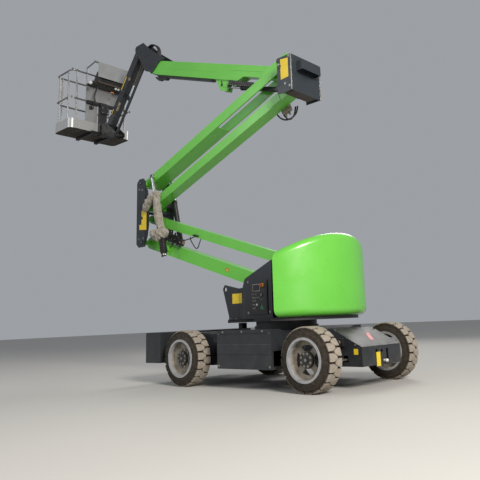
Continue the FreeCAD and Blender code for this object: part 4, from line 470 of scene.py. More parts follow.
def finishMesh(name, mesh, materials, body, bevel=0.0, levels=2, angle=32):
    item = addObject(name, mesh)
    for material in () if len(mesh.materials) else materials:
        mesh.materials.append(material)
    mesh.polygons.foreach_set("use_smooth", [True] * len(mesh.polygons))
    if hasattr(mesh, "set_sharp_from_angle"):
        mesh.set_sharp_from_angle(angle=math.radians(angle))
    if bevel:
        rounding = item.modifiers.new("rounding", "BEVEL")
        rounding.width = bevel / 1000
        rounding.segments = levels
        rounding.limit_method = "ANGLE"
        rounding.angle_limit = math.radians(angle)
        rounding.harden_normals = True
    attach(item, body)
    return item


def nurbsCurve(name, points, radius=0.0, slot=None):
    # open NURBS route through machine points, tube of the given radius
    data = bpy.data.curves.new(name, "CURVE")
    data.dimensions = "3D"
    data.resolution_u = 12
    data.bevel_depth = radius / 1000
    data.bevel_resolution = 4
    data.use_fill_caps = True
    spline = data.splines.new("NURBS")
    spline.points.add(len(points) - 1)
    for knot, point in zip(spline.points, points):
        knot.co = (*toFrame(point), 1.0)
    spline.order_u = 3
    spline.use_endpoint_u = True
    item = addObject(name, data)
    if slot:
        data.materials.append(slot)
    return item


def routePoints(points):
    # smooth points along a route, in the frame's metres
    item = nurbsCurve("route", points)
    mesh = bpy.data.meshes.new_from_object(item)
    places = [vert.co.copy() for vert in mesh.vertices]
    bpy.data.objects.remove(item)
    bpy.data.meshes.remove(mesh)
    return places


def pipe(name, points, radius, material, body):
    # fixed pipe or clipped hose, a plain mesh
    item = nurbsCurve(name + "Route", points, radius, material)
    mesh = bpy.data.meshes.new_from_object(item)
    bpy.data.objects.remove(item)
    mesh.name = name
    return finishMesh(name, mesh, [material], body)


def freeHose(name, points, radius, body, material=hoseRubber):
    # hose held at both ends, a tube along its route
    item = nurbsCurve(name, points, radius, material)
    places = routePoints(points)
    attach(item, body)
    return item


def sleeve(name, points, radii, material, body, seed, folds=0.16, sides=28):
    # cloth sleeve round a bundle of hoses, with soft random folds and puckers
    places = routePoints(points)
    mesh = bpy.data.meshes.new(name)
    verts, faces = [], []
    side = Vector((0, 1, 0))
    count = len(places)
    for index, place in enumerate(places):
        ahead = (places[min(index + 1, count - 1)] - places[max(index - 1, 0)]).normalized()
        side = (side - ahead * side.dot(ahead)).normalized()
        other = ahead.cross(side)
        part = index / (count - 1) * (len(radii) - 1)
        low = min(int(part), len(radii) - 2)
        radius = (radii[low] * (low + 1 - part) + radii[low + 1] * (part - low)) / 1000
        close = min(index, count - 1 - index)
        radius *= 0.62 if close == 0 else 1.0
        for step in range(sides):
            turn = 2 * math.pi * step / sides
            out = side * math.cos(turn) + other * math.sin(turn)
            spot = Vector((math.cos(turn) * 1.6, math.sin(turn) * 1.6, part * 2.2 + seed * 7.3))
            fold = noise.noise(spot) * folds + noise.noise(spot * 3.1) * folds * 0.45
            ripple = 0.035 * math.sin(part * 21 + turn * 2 + seed)
            verts.append(place + out * radius * (1 + fold + ripple))
    for index in range(count - 1):
        for step in range(sides):
            after = (step + 1) % sides
            faces.append((index * sides + step, index * sides + after,
                          (index + 1) * sides + after, (index + 1) * sides + step))
    faces.append(tuple(reversed(range(sides))))
    faces.append(tuple(range((count - 1) * sides, count * sides)))
    mesh.from_pydata(verts, [], faces)
    mesh.update()
    form = bmesh.new()
    form.from_mesh(mesh)
    bmesh.ops.recalc_face_normals(form, faces=form.faces)
    form.to_mesh(mesh)
    form.free()
    item = finishMesh(name, mesh, [material], body, angle=60)
    smooth = item.modifiers.new("smooth", "SUBSURF")
    smooth.levels = smooth.render_levels = 1
    return item


def startTree(name, inputs):
    # tree with geometry in and out, named inputs and the turn of each point's facing
    tree = bpy.data.node_groups.new(name, "GeometryNodeTree")
    face = tree.interface
    face.new_socket("Geometry", in_out="INPUT", socket_type="NodeSocketGeometry")
    for label, kind, amount in inputs + (("material", "Material", None),):
        socket = face.new_socket(label, in_out="INPUT", socket_type="NodeSocket" + kind)
        if amount is not None:
            socket.default_value = amount
    face.new_socket("Geometry", in_out="OUTPUT", socket_type="NodeSocketGeometry")
    add, join = tree.nodes.new, tree.links.new
    facing, align = (add("GeometryNodeInputNamedAttribute"),
                     add("FunctionNodeAlignRotationToVector"))
    facing.data_type = "FLOAT_VECTOR"
    facing.inputs["Name"].default_value = "facing"
    align.axis = "Z"
    join(facing.outputs["Attribute"], align.inputs["Vector"])
    return tree, add, join, add("NodeGroupInput"), align.outputs["Rotation"]


def endTree(add, join, given, part, rotation):
    # the part on every point, made real and given its material
    scatter, real, coat, out = (add("GeometryNodeInstanceOnPoints"),
                                add("GeometryNodeRealizeInstances"),
                                add("GeometryNodeSetMaterial"), add("NodeGroupOutput"))
    join(given.outputs["Geometry"], scatter.inputs["Points"])
    join(part, scatter.inputs["Instance"])
    join(rotation, scatter.inputs["Rotation"])
    join(scatter.outputs[0], real.inputs[0])
    join(real.outputs[0], coat.inputs["Geometry"])
    join(given.outputs["material"], coat.inputs["Material"])
    join(coat.outputs[0], out.inputs[0])


# bolts: a head and a washer on every point, along its facing
boltShape = {"washerWide": 1.55, "washerHigh": 0.22, "washerSides": 20}


def boltTree(shape):
    tree, add, join, given, rotation = startTree("boltHeads", (
        ("headRadius", "Float", 0.01), ("headHeight", "Float", 0.007), ("sides", "Int", 6),
        ("seed", "Int", 3)))

    def disc(radiusScale, heightScale, sides):
        radius, height = add("ShaderNodeMath"), add("ShaderNodeMath")
        made, moved, rise = (add("GeometryNodeMeshCylinder"), add("GeometryNodeTransform"),
                             add("ShaderNodeCombineXYZ"))
        for node, name, scale in ((radius, "headRadius", radiusScale),
                                  (height, "headHeight", heightScale)):
            node.operation = "MULTIPLY"
            join(given.outputs[name], node.inputs[0])
            node.inputs[1].default_value = scale
        if sides:
            made.inputs["Vertices"].default_value = sides
        else:
            join(given.outputs["sides"], made.inputs["Vertices"])
        join(radius.outputs[0], made.inputs["Radius"])
        join(height.outputs[0], made.inputs["Depth"])
        half = add("ShaderNodeMath")
        half.operation = "MULTIPLY"
        half.inputs[1].default_value = 0.5
        join(height.outputs[0], half.inputs[0])
        join(half.outputs[0], rise.inputs["Z"])
        join(made.outputs["Mesh"], moved.inputs["Geometry"])
        join(rise.outputs[0], moved.inputs["Translation"])
        return moved.outputs[0]
    both = add("GeometryNodeJoinGeometry")
    join(disc(1.0, 1.0, 0), both.inputs[0])
    join(disc(shape["washerWide"], shape["washerHigh"], shape["washerSides"]), both.inputs[0])
    spin, euler, turn = (add("FunctionNodeRandomValue"), add("FunctionNodeEulerToRotation"),
                         add("FunctionNodeRotateRotation"))
    spin.data_type = "FLOAT_VECTOR"
    spin.inputs["Min"].default_value = (0, 0, 0)
    spin.inputs["Max"].default_value = (0, 0, 6.28)
    join(given.outputs["seed"], spin.inputs["Seed"])
    turn.rotation_space = "LOCAL"
    join(rotation, turn.inputs["Rotation"])
    join(spin.outputs[0], euler.inputs[0])
    join(euler.outputs[0], turn.inputs["Rotate By"])
    endTree(add, join, given, both.outputs[0], turn.outputs["Rotation"])
    return tree


boltHeads = boltTree(boltShape)


def grow(name, host, tree, settings, body):
    # runs a tree on a host object, keeps the result as a plain mesh and drops the modifier
    modifier = host.modifiers.new("grown", "NODES")
    modifier.node_group = tree
    for item in tree.interface.items_tree:
        if item.item_type == "SOCKET" and item.in_out == "INPUT" and item.name in settings:
            modifier[item.identifier] = settings[item.name]
    bpy.context.view_layer.update()
    mesh = bpy.data.meshes.new_from_object(host.evaluated_get(
        bpy.context.evaluated_depsgraph_get()))
    host.modifiers.remove(modifier)
    bpy.data.objects.remove(host)
    mesh.name = name
    return finishMesh(name, mesh, [settings["material"]], body)


def pointHost(name, rows):
    # bare points; rows hold a machine point and the way it faces
    mesh = bpy.data.meshes.new(name + "Points")
    mesh.from_pydata([toFrame(point) for point, facing in rows], [], [])
    facings = mesh.attributes.new("facing", "FLOAT_VECTOR", "POINT")
    for entry, (point, facing) in zip(facings.data, rows):
        entry.vector = Vector(facing).normalized()
    return addObject(name + "Points", mesh)


def bolts(name, rows, radius, body, material=None):
    return grow(name, pointHost(name, rows), boltHeads, {
        "headRadius": radius / 1000, "headHeight": radius * 0.7 / 1000, "sides": 6,
        "seed": len(rows), "material": material or zinc}, body)


def bothSides(rows):
    # the rows and their mirror images on the right side
    mirrored = [((x, -y, z), (fx, -fy, fz)) for (x, y, z), (fx, fy, fz) in rows]
    return rows + mirrored


left, up = (0, 1, 0), (0, 0, 1)

# wheels: bolt rings, hub caps and valves
wheelDetails = {"hubBolts": 8, "hubBoltRing": 70, "hubBoltRadius": 9, "rimBolts": 10,
                "rimBoltRing": 112, "rimBoltRadius": 10, "capRadius": 34, "valveRing": 176,
                "valveTurn": 0.9, "rimFace": 131, "frontDish": 62, "rearDish": 70, "hubProud": 26}


def ringPoint(middle, turn, radius):
    return middle + Vector((math.cos(turn), 0, math.sin(turn))) * radius


def wheelPieces(sizes):
    for place, along, side, front in (("front_left", 1, 1, True), ("rear_left", -1, 1, False),
                                      ("front_right", 1, -1, True),
                                      ("rear_right", -1, -1, False)):
        body = "wheel_" + place
        middle = Vector((along * wheelPlace["axle"], side * wheelPlace["side"],
                         wheelPlace["height"]))
        out = Vector((0, side, 0))
        disc = middle + out * (sizes["rimFace"] - sizes["frontDish" if front else "rearDish"])
        hub = disc + out * sizes["hubProud"]
        count = sizes["hubBolts"]
        bolts("hubBolts_" + place, [
            (ringPoint(hub, 2 * math.pi * (index + 0.5) / count, sizes["hubBoltRing"]), out)
            for index in range(count)], sizes["hubBoltRadius"], body)
        if front:
            count = sizes["rimBolts"]
            bolts("rimBolts_" + place, [
                (ringPoint(disc, 2 * math.pi * index / count, sizes["rimBoltRing"]), out)
                for index in range(count)], sizes["rimBoltRadius"], body)
        form = bmesh.new()
        addRod(form, hub, hub + out * 7, sizes["capRadius"], 0, 36)
        addRod(form, hub + out * 7, hub + out * 12, sizes["capRadius"] * 0.55, 1, 6)
        spot = ringPoint(disc, sizes["valveTurn"], sizes["valveRing"])
        addRod(form, spot - out * 4, spot + out * 34, 5, 1, 12)
        addRod(form, spot + out * 34, spot + out * 44, 6.5, 0, 12)
        finishForm("hubCap_" + place, form, [blackMetal, zinc], body, 1.5)


wheelPieces(wheelDetails)
print("wheels dressed")

# chassis: pressed bands on the side covers, cover bolts, rear end fittings, blank labels
chassisSizes = {"band": (406, 527), "bandProud": 5, "coverEnds": (-549, 361),
                "coverBolts": ((335, 655), (-520, 655), (335, 272), (-520, 272)),
                "slopeBolts": ((-1093, 652), (-1250, 560), (-1357, 485), (-900, 655))}


def chassisPieces(sizes):
    form = bmesh.new()
    low, high = sizes["band"]
    first, last = sizes["coverEnds"]
    for side in (1, -1):
        face = side * 900
        push = side * sizes["bandProud"]
        addPlate(form, [(first + 1, face, low), (first + 1, face, high), (first + 1, face + push,
                 high - 7), (first + 1, face + push, low + 7)], (last - first - 2, 0, 0))
    finishForm("coverBands", form, [chassisPaint], "chassis", 1.2)
    rows = [((x, 900, z), left) for x, z in sizes["coverBolts"]]
    rows += [((x, 400, z), left) for x, z in sizes["slopeBolts"]]
    rows += [((x, 908, 672), left) for x in (-420, -80, 250)]
    rows += [((1708, y, 688), up) for y in (200, 420, 640, 840)]
    bolts("coverBolts", bothSides(rows), 9, "chassis")
    form = bmesh.new()
    end = -1445
    addBlock(form, (end - 4, 42, 236), (end, 122, 392), 0)
    addBlock(form, (end - 3, -60, 250), (end, -2, 330), 1)
    addBlock(form, (-1393, 400, 380), (-1337, 403, 442), 0)
    addRod(form, (end, -29, 293), (end - 30, -29, 293), 14, 2)
    addBall(form, (end - 40, -29, 293), 20, 2)
    finishForm("rearPlates", form, [yellow, blackMetal, white], "chassis", 1)
    form = bmesh.new()
    # red strip on the sloping rear cover
    addPlate(form, [(-1180, -70, 598), (-1180, -150, 598), (-1330, -30, 522), (-1330, 50, 522)],
             (-0.9, 0, 1.8))
    finishForm("rearStrip", form, [red], "chassis", 0)
    form = bmesh.new()
    for side in (1, -1):
        # recess of the box between the front wheel and the side cover
        addBlock(form, (764, side * 600 - 4, 258), (690, side * 520, 543), 0)
        # cable glands and the steering cylinder's hose block beside the rear axle
        addBlock(form, (-1230, side * 400, 470), (-1120, side * 452, 560), 0)
        addRod(form, (-1175, side * 452, 515), (-1175, side * 470, 515), 26, 1)
        addBlock(form, (-930, side * 400, 520), (-800, side * 440, 600), 0)
    finishForm("chassisBlocks", form, [blackMetal, zinc], "chassis", 3)
    form = bmesh.new()
    # seams of the front box and its lid
    addBlock(form, (1560, -872, 688), (1862, 872, 691), 0)
    addBlock(form, (1864, -800, 300), (1870, 800, 660), 0)
    finishForm("frontBoxLid", form, [chassisPaint], "chassis", 2)


chassisPieces(chassisSizes)
print("chassis dressed")

# turntable: pin caps, blank labels, ground controls, slewing motor
turntableSizes = {"labelLow": (499, 1035), "labelHigh": (728, 1168), "face": 280,
                  "panelFace": 384}


def turntablePieces(sizes):
    face = sizes["face"]
    form = bmesh.new()
    (x0, z0), (x1, z1) = sizes["labelLow"], sizes["labelHigh"]
    # the label lies on the folded cover's bevel, which leaves the plate at x 600
    addPlate(form, [(604, face, z0), (x1, face, z0), (x1, face, z1), (604, face, z1)],
             (0, 1.6, 0))
    bevel = (370 - 280) / (392 - 600)
    addPlate(form, [(602, face + 1, z0), (x0, face + 1 + (x0 - 600) * bevel, z0),
                    (x0, face + 1 + (x0 - 600) * bevel, z1), (602, face + 1, z1)], (0.7, 1.5, 0))
    finishForm("cheekLabel", form, [yellow], "turntable", 0)
    form = bmesh.new()
    front = sizes["panelFace"]
    inset = roundedOutline([(258, 905), (-10, 900), (-10, 1278), (258, 1226)], 22)
    addPlate(form, [(x, front, z) for x, z in inset], (0, 3, 0), 0)
    # display with its pale frame
    for low, high in (((89, 1168), (226, 1176)), ((89, 1250), (226, 1261)),
                      ((89, 1176), (97, 1250)), ((218, 1176), (226, 1250))):
        addBlock(form, (low[0], front + 3, low[1]), (high[0], front + 9, high[1]), 1)
    addBlock(form, (97, front + 3, 1176), (218, front + 5, 1250), 2)
    # emergency stop on its yellow ring, key switch
    addSteps(form, 53, 1240, 1, ((front + 3, front + 12, 26, 3, 28), (front + 12, front + 24, 14, 4, 28),
                                 (front + 24, front + 36, 24, 4, 28)))
    addSteps(form, 146, 996, 1, ((front + 3, front + 18, 15, 5, 28),))
    addPlate(form, [(100, front + 3, 935), (32, front + 3, 935), (66, front + 3, 1005)],
             (0, 3, 0), 6)
    for z, spots in ((1130, (215, 165)), (1085, (215, 180, 145, 110)), (1045, (215, 175)),
                     (996, (215, 190)), (950, (215, 180))):
        for x in spots:
            addRod(form, (x, front + 3, z), (x, front + 7, z), 9, 1, 16)
            addRod(form, (x, front + 7, z), (x - 3, front + 24, z + 6), 3.5, 1, 10)
    addRod(form, (60, front + 3, 1120), (60, front + 12, 1120), 15, 0)
    addBlock(form, (56, front + 12, 1106), (64, front + 22, 1134), 5)
    addRod(form, (60, front + 3, 1060), (60, front + 8, 1060), 12, 6)
    finishForm("groundPanel", form, [plastic, zinc, darkGlass, yellow, red, white, greenMark],
               "turntable", 1)
    form = bmesh.new()
    for side in (1, -1):
        for x, z in ((-250, 1110), (-250, 1513)):
            face = 370 if side == 1 else 280
            addSteps(form, x, z, side, ((285, face + 6, 44, 0, 28), (face + 6, face + 12, 20, 1, 6)))
        # lower flange and gussets
        addBlock(form, (-550, side * 262, 820), (770, side * 318, 832), 0)
    finishForm("cheekFittings", form, [dark, zinc], "turntable", 2)
    rows = [((x, 300, 832), up) for x in (-500, 640, 740)]
    rows += [((x, 370, z), left) for x, z in ((330, 900), (330, 1300), (-60, 900))]
    bolts("cheekBolts", bothSides(rows[:3]) + rows[3:], 10, "turntable")
    form = bmesh.new()
    # slewing motor and gearbox in front of the ring, hose manifold on the deck
    addRod(form, (560, -180, 700), (560, -180, 775), 92, 0)
    addRod(form, (560, -180, 832), (560, -180, 940), 58, 0)
    addBlock(form, (500, -250, 820), (640, -110, 850), 0)
    addBlock(form, (700, 40, 700), (775, 130, 776), 0)
    addBlock(form, (380, -60, 822), (520, 120, 900), 1)
    for x in (400, 440, 480):
        addRod(form, (x, 30, 900), (x, 30, 935), 12, 1, 6)
    finishForm("slewDrive", form, [blackMetal, zinc], "turntable", 3)
    rows = [(Vector((math.cos(turn) * 375, math.sin(turn) * 375, 820)), up)
            for turn in (2 * math.pi * index / 24 for index in range(24))
            if abs(math.sin(turn) * 375) < 250 and math.cos(turn) > -0.9]
    bolts("ringBolts", rows, 12, "turntable")


turntablePieces(turntableSizes)
print("turntable dressed")

# green arms: doubler plates at the ends, a small mark on the lower arm
armSizes = {"doublers": (("lower_arm", lowerArm, 90, 88, ((2860, 3120, 1), (190, 380, -1))),
                         ("lower_link", lowerLink, 70, 64, ((2900, 3110, 1), (160, 320, -1))),
                         ("upper_arm", upperArm, 140, 72, ((150, 400, -1),)),
                         ("upper_link", upperLink, 100, 66, ((150, 360, -1), (3060, 3250, 1)))),
            "thick": 6, "bow": 46, "bowSteps": 8,
            "marks": ((90, 1.5, ((1312, -18), (1382, -18), (1382, 28), (1312, 28))),
                      (91.5, 1, ((1322, -11), (1372, -11), (1347, 21))))}


def doubler(form, line, face, half, first, last, bulge, sizes):
    # plate on an arm's side; its inner end is a shallow arc
    steps = sizes["bowSteps"]
    for side in (1, -1):
        flat, curved = (last, first) if bulge == 1 else (first, last)
        corners = [line(flat, side * face, rise) for rise in (-half, half)]
        for index in range(steps + 1):
            part = 1 - 2 * index / steps
            bow = sizes["bow"] * (1 - part * part) * -bulge
            corners.append(line(curved + bow, side * face, half * part))
        addPlate(form, corners, (0, side * sizes["thick"], 0))


def armPieces(sizes):
    for name, line, face, half, spans in sizes["doublers"]:
        form = bmesh.new()
        for first, last, bulge in spans:
            doubler(form, line, face, half, first, last, bulge, sizes)
        finishForm("doublers_" + name, form, [green], name, 2)
    form = bmesh.new()
    for slot, (face, thick, outline) in enumerate(sizes["marks"]):
        addPlate(form, [lowerArm(along, face, rise) for along, rise in outline],
                 (0, thick, 0), slot)
    finishForm("armMark", form, [orange, yellow], "lower_arm", 0)


armPieces(armSizes)
print("arms dressed")

# middle knuckle: blank label, bolts, sleeves and hoses
knuckleSizes = {"face": 268, "label": ((2889, 2345), (2752, 2327), (2754, 2640), (2893, 2660)),
                "tab": ((2947, 2350), (2889, 2345), (2892, 2430), (2950, 2436)),
                "stiffener": ((2800, 3060), (2742, 2990), (2700, 2700), (2706, 2420), (2740, 2230),
                              (2800, 2100)),
                "pins": ((2880, 2136), (2880, 2539), (2930, 3146), (2930, 2746)),
                "bundle": ((2257, 306, 2160), (2233, 306, 1890)), "ribs": 15,
                "rod": [(2512, 318, 3100), (2482, 318, 2990), (2453, 318, 2880)],
                "sleeves": (
                    ("bandSleeve", [(2760, 300, 2640), (2687, 322, 2690), (2625, 324, 2754),
                                    (2516, 322, 2820), (2425, 320, 2872), (2352, 320, 2840)],
                     (44, 62, 68, 70, 64, 50), 1, 0.3),
                    ("hangingSleeve", [(2411, 316, 2872), (2408, 322, 2728), (2382, 324, 2592),
                                       (2350, 320, 2448), (2312, 318, 2340), (2270, 318, 2262)],
                     (50, 60, 68, 66, 54, 58), 2, 0.3),
                    ("lowerSleeve", [(2520, 326, 2262), (2440, 334, 2206), (2350, 340, 2186),
                                     (2262, 338, 2186), (2180, 330, 2212), (2140, 324, 2236)],
                     (44, 80, 92, 96, 78, 50), 3, 0.36),
                    ("farSleeve", [(2532, 192, 2467), (2555, 192, 2560), (2577, 192, 2650),
                                   (2600, 192, 2742), (2614, 192, 2800)],
                     (46, 52, 50, 53, 46), 4, 0.12))}


def middlePieces(sizes):
    face = sizes["face"]
    form = bmesh.new()
    for outline in (sizes["label"], sizes["tab"]):
        addPlate(form, [(x, face, z) for x, z in outline], (0, 1.6, 0))
    finishForm("middleLabel", form, [yellow], "middle_knuckle", 0)
    rows = [((2879, face, 3019), left), ((2836, face, 2196), left), ((2960, face, 3040), left),
            ((2960, face, 2196), left)]
    bolts("middleBolts", bothSides(rows), 12, "middle_knuckle")
    form = bmesh.new()
    for side in (1, -1):
        for x, z in sizes["pins"]:
            if side == 1 and 2500 < z < 2800:
                continue  # the label covers these pins
            addSteps(form, x, z, side, ((face, face + 7, 31, 0, 32), (face + 7, face + 12, 11, 1, 6)))
    finishForm("middlePins", form, [dark, zinc], "middle_knuckle", 2)
    # sleeves beside the near plate, and one wrapped round the near lift cylinder
    for name, route, radii, seed, folds in sizes["sleeves"]:
        wrap = name == "farSleeve"
        sleeve(name, route, radii, pinkCloth if wrap else sleeveCloth,
               "lift_barrel" if wrap else "middle_knuckle", seed, folds)
    pipe("sleeveRod", sizes["rod"], 15, zinc, "middle_knuckle")
    form = bmesh.new()
    for side in (1, -1):
        # folded stiffeners behind the plates
        addPlate(form, [(x, side * 245, z) for x, z in sizes["stiffener"]], (0, side * 14, 0))
    finishForm("plateStiffeners", form, [blackMetal], "middle_knuckle", 3)
    # hoses leave the lower sleeve in a ribbed bundle
    form = bmesh.new()
    first, last = (Vector(end) for end in sizes["bundle"])
    ribs = sizes["ribs"]
    for index in range(ribs):
        part = index / (ribs - 1)
        wide = 57 + 9 * math.sin(part * 9.5) - 5 * part
        spot = first.lerp(last, part)
        step = (last - first) / (ribs * 2.3)
        addRod(form, spot - step, spot + step, wide, 0, 24, wide - 5)
    addRod(form, first, last, 38, 0, 20)
    for turn, tail in ((0.4, 60), (2.2, 34), (4.1, 48)):
        offset = Vector((math.cos(turn) * 22, math.sin(turn) * 22, 0))
        spot = last + offset
        addRod(form, spot, spot - Vector((0, 0, tail)), 17, 0, 16)
        addRod(form, spot - Vector((0, 0, 14)), spot - Vector((0, 0, 26)), 21, 1, 6)
    addRod(form, first + Vector((46, -30, 20)), last + Vector((52, -30, 60)), 11, 2, 14)
    finishForm("hoseBundle", form, [hoseRubber, zinc, darkGlass], "middle_knuckle", 1.5)
    # brackets that hold the sleeves off the near plate
    form = bmesh.new()
    addBlock(form, (2420, 262, 2700), (2960, 272, 2740), 0)
    addBlock(form, (2420, 262, 2640), (2452, 272, 2740), 0)
    for x, z in ((2436, 2720), (2560, 2720)):
        addRod(form, (x, 272, z), (x, 318, z), 12, 1, 12)
    finishForm("sleeveBrackets", form, [dark, zinc], "middle_knuckle", 2)


middlePieces(knuckleSizes)
print("middle knuckle dressed")

# upper knuckle: blank label, bolts, bright edge strip
upperSizes = {"face": 307, "label": ((-346, 3974), (-346, 4271), (-482, 4254), (-482, 3984)),
              "loops": (("outerLoop", [(144, -118, 3790), (146, -130, 3730), (122, -150, 3678),
                                       (69, -170, 3628), (10, -190, 3610), (-56, -212, 3618),
                                       (-108, -236, 3662), (-140, -252, 3712), (-150, -258, 3795)]),
                        ("innerLoop", [(40, -118, 3770), (34, -136, 3700), (-15, -170, 3617),
                                       (-54, -198, 3600), (-92, -222, 3640), (-108, -244, 3700),
                                       (-112, -256, 3795)]))}


def upperPieces(sizes):
    face = sizes["face"]
    form = bmesh.new()
    addPlate(form, [(x, face, z) for x, z in sizes["label"]], (0, 1.6, 0))
    finishForm("upperLabel", form, [yellow], "upper_knuckle", 0)
    rows = [((-312, face, 4205), left), ((-420, face, 3900), left), ((-500, face, 4275), left),
            ((-500, face, 3850), left)]
    bolts("upperBolts", bothSides(rows), 12, "upper_knuckle")
    form = bmesh.new()
    for side in (1, -1):
        # folded edges of the back plate
        addBlock(form, (-541, side * 297, 3786), (-527, side * 311, 4300), 0)
        for x, z in ((-300, 4262), (-330, 4172), (-300, 3922)):
            addSteps(form, x, z, side, ((face, face + 5, 27, 1, 28),))
    finishForm("upperEdges", form, [zinc, paintedSkyLightSlate], "upper_knuckle", 1.5)
    # beige valve block and fittings under the arms, floor of the box, two loops of hose
    form = bmesh.new()
    addBlock(form, (-120, -166, 3690), (20, -104, 3790), 0, Matrix.Rotation(0.35, 3, "Y"))
    addRod(form, (-90, -135, 3700), (-110, -135, 3650), 15, 1, 6)
    addRod(form, (-30, -135, 3690), (-40, -135, 3640), 15, 1, 6)
    addBlock(form, (-528, -240, 3790), (-350, 240, 3799), 3)
    finishForm("valveBlock", form, [beige, zinc, plastic, brown], "upper_knuckle", 2)
    for name, route in sizes["loops"]:
        freeHose(name, route, 12, "upper_link")


upperPieces(upperSizes)
print("upper knuckle dressed")

# main boom: plates, keyhole in the lug, pads and seams
boomSizes = {"side": 80, "plateThick": 3,
             "plate": ((60, 52), (60, -20), (330, -28), (1130, -34), (1290, -48), (1330, -60),
                       (1330, 52)),
             "lugSide": 62, "keyRounds": ((1440, -218, 13), (1418, -272, 24)),
             "keySlot": ((1433, -214), (1448, -220), (1430, -276), (1408, -268)),
             "lugPin": (1353, -280), "lugPinProud": 8,
             "underside": ((1700, 3270, -187, 34, 50), (2950, 3330, -221, 40, 34),
                           (3120, 3260, -255, 26, 30)),
             "padBolts": ((3265, 28), (3240, -20), (3210, -80), (3180, -140)),
             "seams": ((1520, 3080, -78), (260, 700, -62)), "seamBow": 9, "seamThick": 1.5}


def boomPieces(sizes):
    face, lug, thick = sizes["side"], sizes["lugSide"], sizes["plateThick"]
    form = bmesh.new()
    for side in (1, -1):
        addPlate(form, [mainBoom(along, side * face, rise) for along, rise in sizes["plate"]],
                 (0, side * thick, 0))
    finishForm("boomPlates", form, [green], "main_boom", 1.5)
    form = bmesh.new()
    for side in (1, -1):
        # keyhole in the lug's outer face and the lug pin's head
        push = Vector((0, side * thick, 0))
        for along, rise, radius in sizes["keyRounds"]:
            spot = mainBoom(along, side * lug, rise)
            addRod(form, spot, spot + push, radius, 0)
        addPlate(form, [mainBoom(along, side * lug, rise) for along, rise in sizes["keySlot"]],
                 push)
        along, rise = sizes["lugPin"]
        addRod(form, mainBoom(along, side * lug, rise),
               mainBoom(along, side * (lug + sizes["lugPinProud"]), rise), 22, 1)
    finishForm("lugKeyhole", form, [plastic, green], "main_boom", 1)
    form = bmesh.new()
    # hose carrier and pads slung under the front stretch
    for start, end, rise, deep, half in sizes["underside"]:
        corners = ((start, rise), (end, rise), (end - deep * 1.6, rise - deep),
                   (start + deep, rise - deep))
        addPlate(form, [mainBoom(along, -half, high) for along, high in corners],
                 (0, 2 * half, 0))
    finishForm("boomUnderside", form, [plastic], "main_boom", 3)
    rows = [(mainBoom(along, side * face, rise), (0, side, 0)) for side in (1, -1)
            for along, rise in sizes["padBolts"]]
    bolts("padBolts", rows, 9, "main_boom", green)
    # joint line along the side, where two pressings meet
    form = bmesh.new()
    for side in (1, -1):
        for start, end, rise in sizes["seams"]:
            bow = [mainBoom(start + (end - start) * index / 8, side * face, rise +
                            sizes["seamBow"] * math.sin(math.pi * index / 8))
                   for index in range(9)]
            addPlate(form, bow + [spot + mainBoom.above * 3 for spot in reversed(bow)],
                     (0, side * sizes["seamThick"], 0))
    finishForm("boomSeams", form, [green], "main_boom", 0)


def carrierTree():
    # a block on every point, along its facing
    tree, add, join, given, rotation = startTree("carrierLinks", (
        ("linkLength", "Float", 0.04), ("linkWidth", "Float", 0.05),
        ("linkHeight", "Float", 0.03)))
    size, link = add("ShaderNodeCombineXYZ"), add("GeometryNodeMeshCube")
    for name, axis in (("linkHeight", "X"), ("linkWidth", "Y"), ("linkLength", "Z")):
        join(given.outputs[name], size.inputs[axis])
    join(size.outputs[0], link.inputs["Size"])
    endTree(add, join, given, link.outputs["Mesh"], rotation)
    return tree


# hose carrier between boom and upper arm: rows of links with bright crossbars
carrierSizes = {"start": 700, "end": 1260, "rows": ((-212, 88), (-246, 88)), "pitch": 46,
                "parts": (("carrierLinks", 0.040, 0.026, 0.040, 0, plastic),
                          ("carrierBars", 0.046, 0.008, 0.010, 15, zinc))}


def carrierPieces(sizes):
    tree = carrierTree()
    count = int((sizes["end"] - sizes["start"]) / sizes["pitch"])
    for name, width, height, length, shift, material in sizes["parts"]:
        rows = []
        for rise, side in sizes["rows"]:
            for index in range(count):
                along = sizes["start"] + index * sizes["pitch"]
                rows += [(mainBoom(along, place, rise - shift), mainBoom.ahead)
                         for place in (side, -side)]
        grow(name, pointHost(name, rows), tree, {
            "linkLength": length, "linkWidth": width, "linkHeight": height,
            "material": material}, "main_boom")


carrierPieces(carrierSizes)
boomPieces(boomSizes)
print("boom dressed")

# jib: pins, yellow strips, hose arch over the head, hoses and fittings along the ram
jibSizes = {"strips": ((564, 843), (1244, 1354)), "stripRise": (46, 66),
            "pins": ((3250, 5711), (3333, 5656), (3225, 5584)),
            "headBolts": ((3010, 5330), (2990, 5560), (3150, 5420)),
            "arch": ((3080, 5745), (3010, 5775), (2880, 5740), (2775, 5640), (2750, 5520),
                     (2770, 5452)), "archSides": (0, 26, 52),
            "fittings": ((560, -80, 60, 18, 0), (1080, -84, 76, 22, 0), (1170, -90, 90, 20, 0),
                         (820, -72, 40, 24, 1), (1330, -80, 36, 18, 1), (1480, -76, 30, 16, 1)),
            "hoses": ((-70, 60), (-84, 64), (70, 30), (70, 8)), "hoseSpan": (160, 1640, 185)}


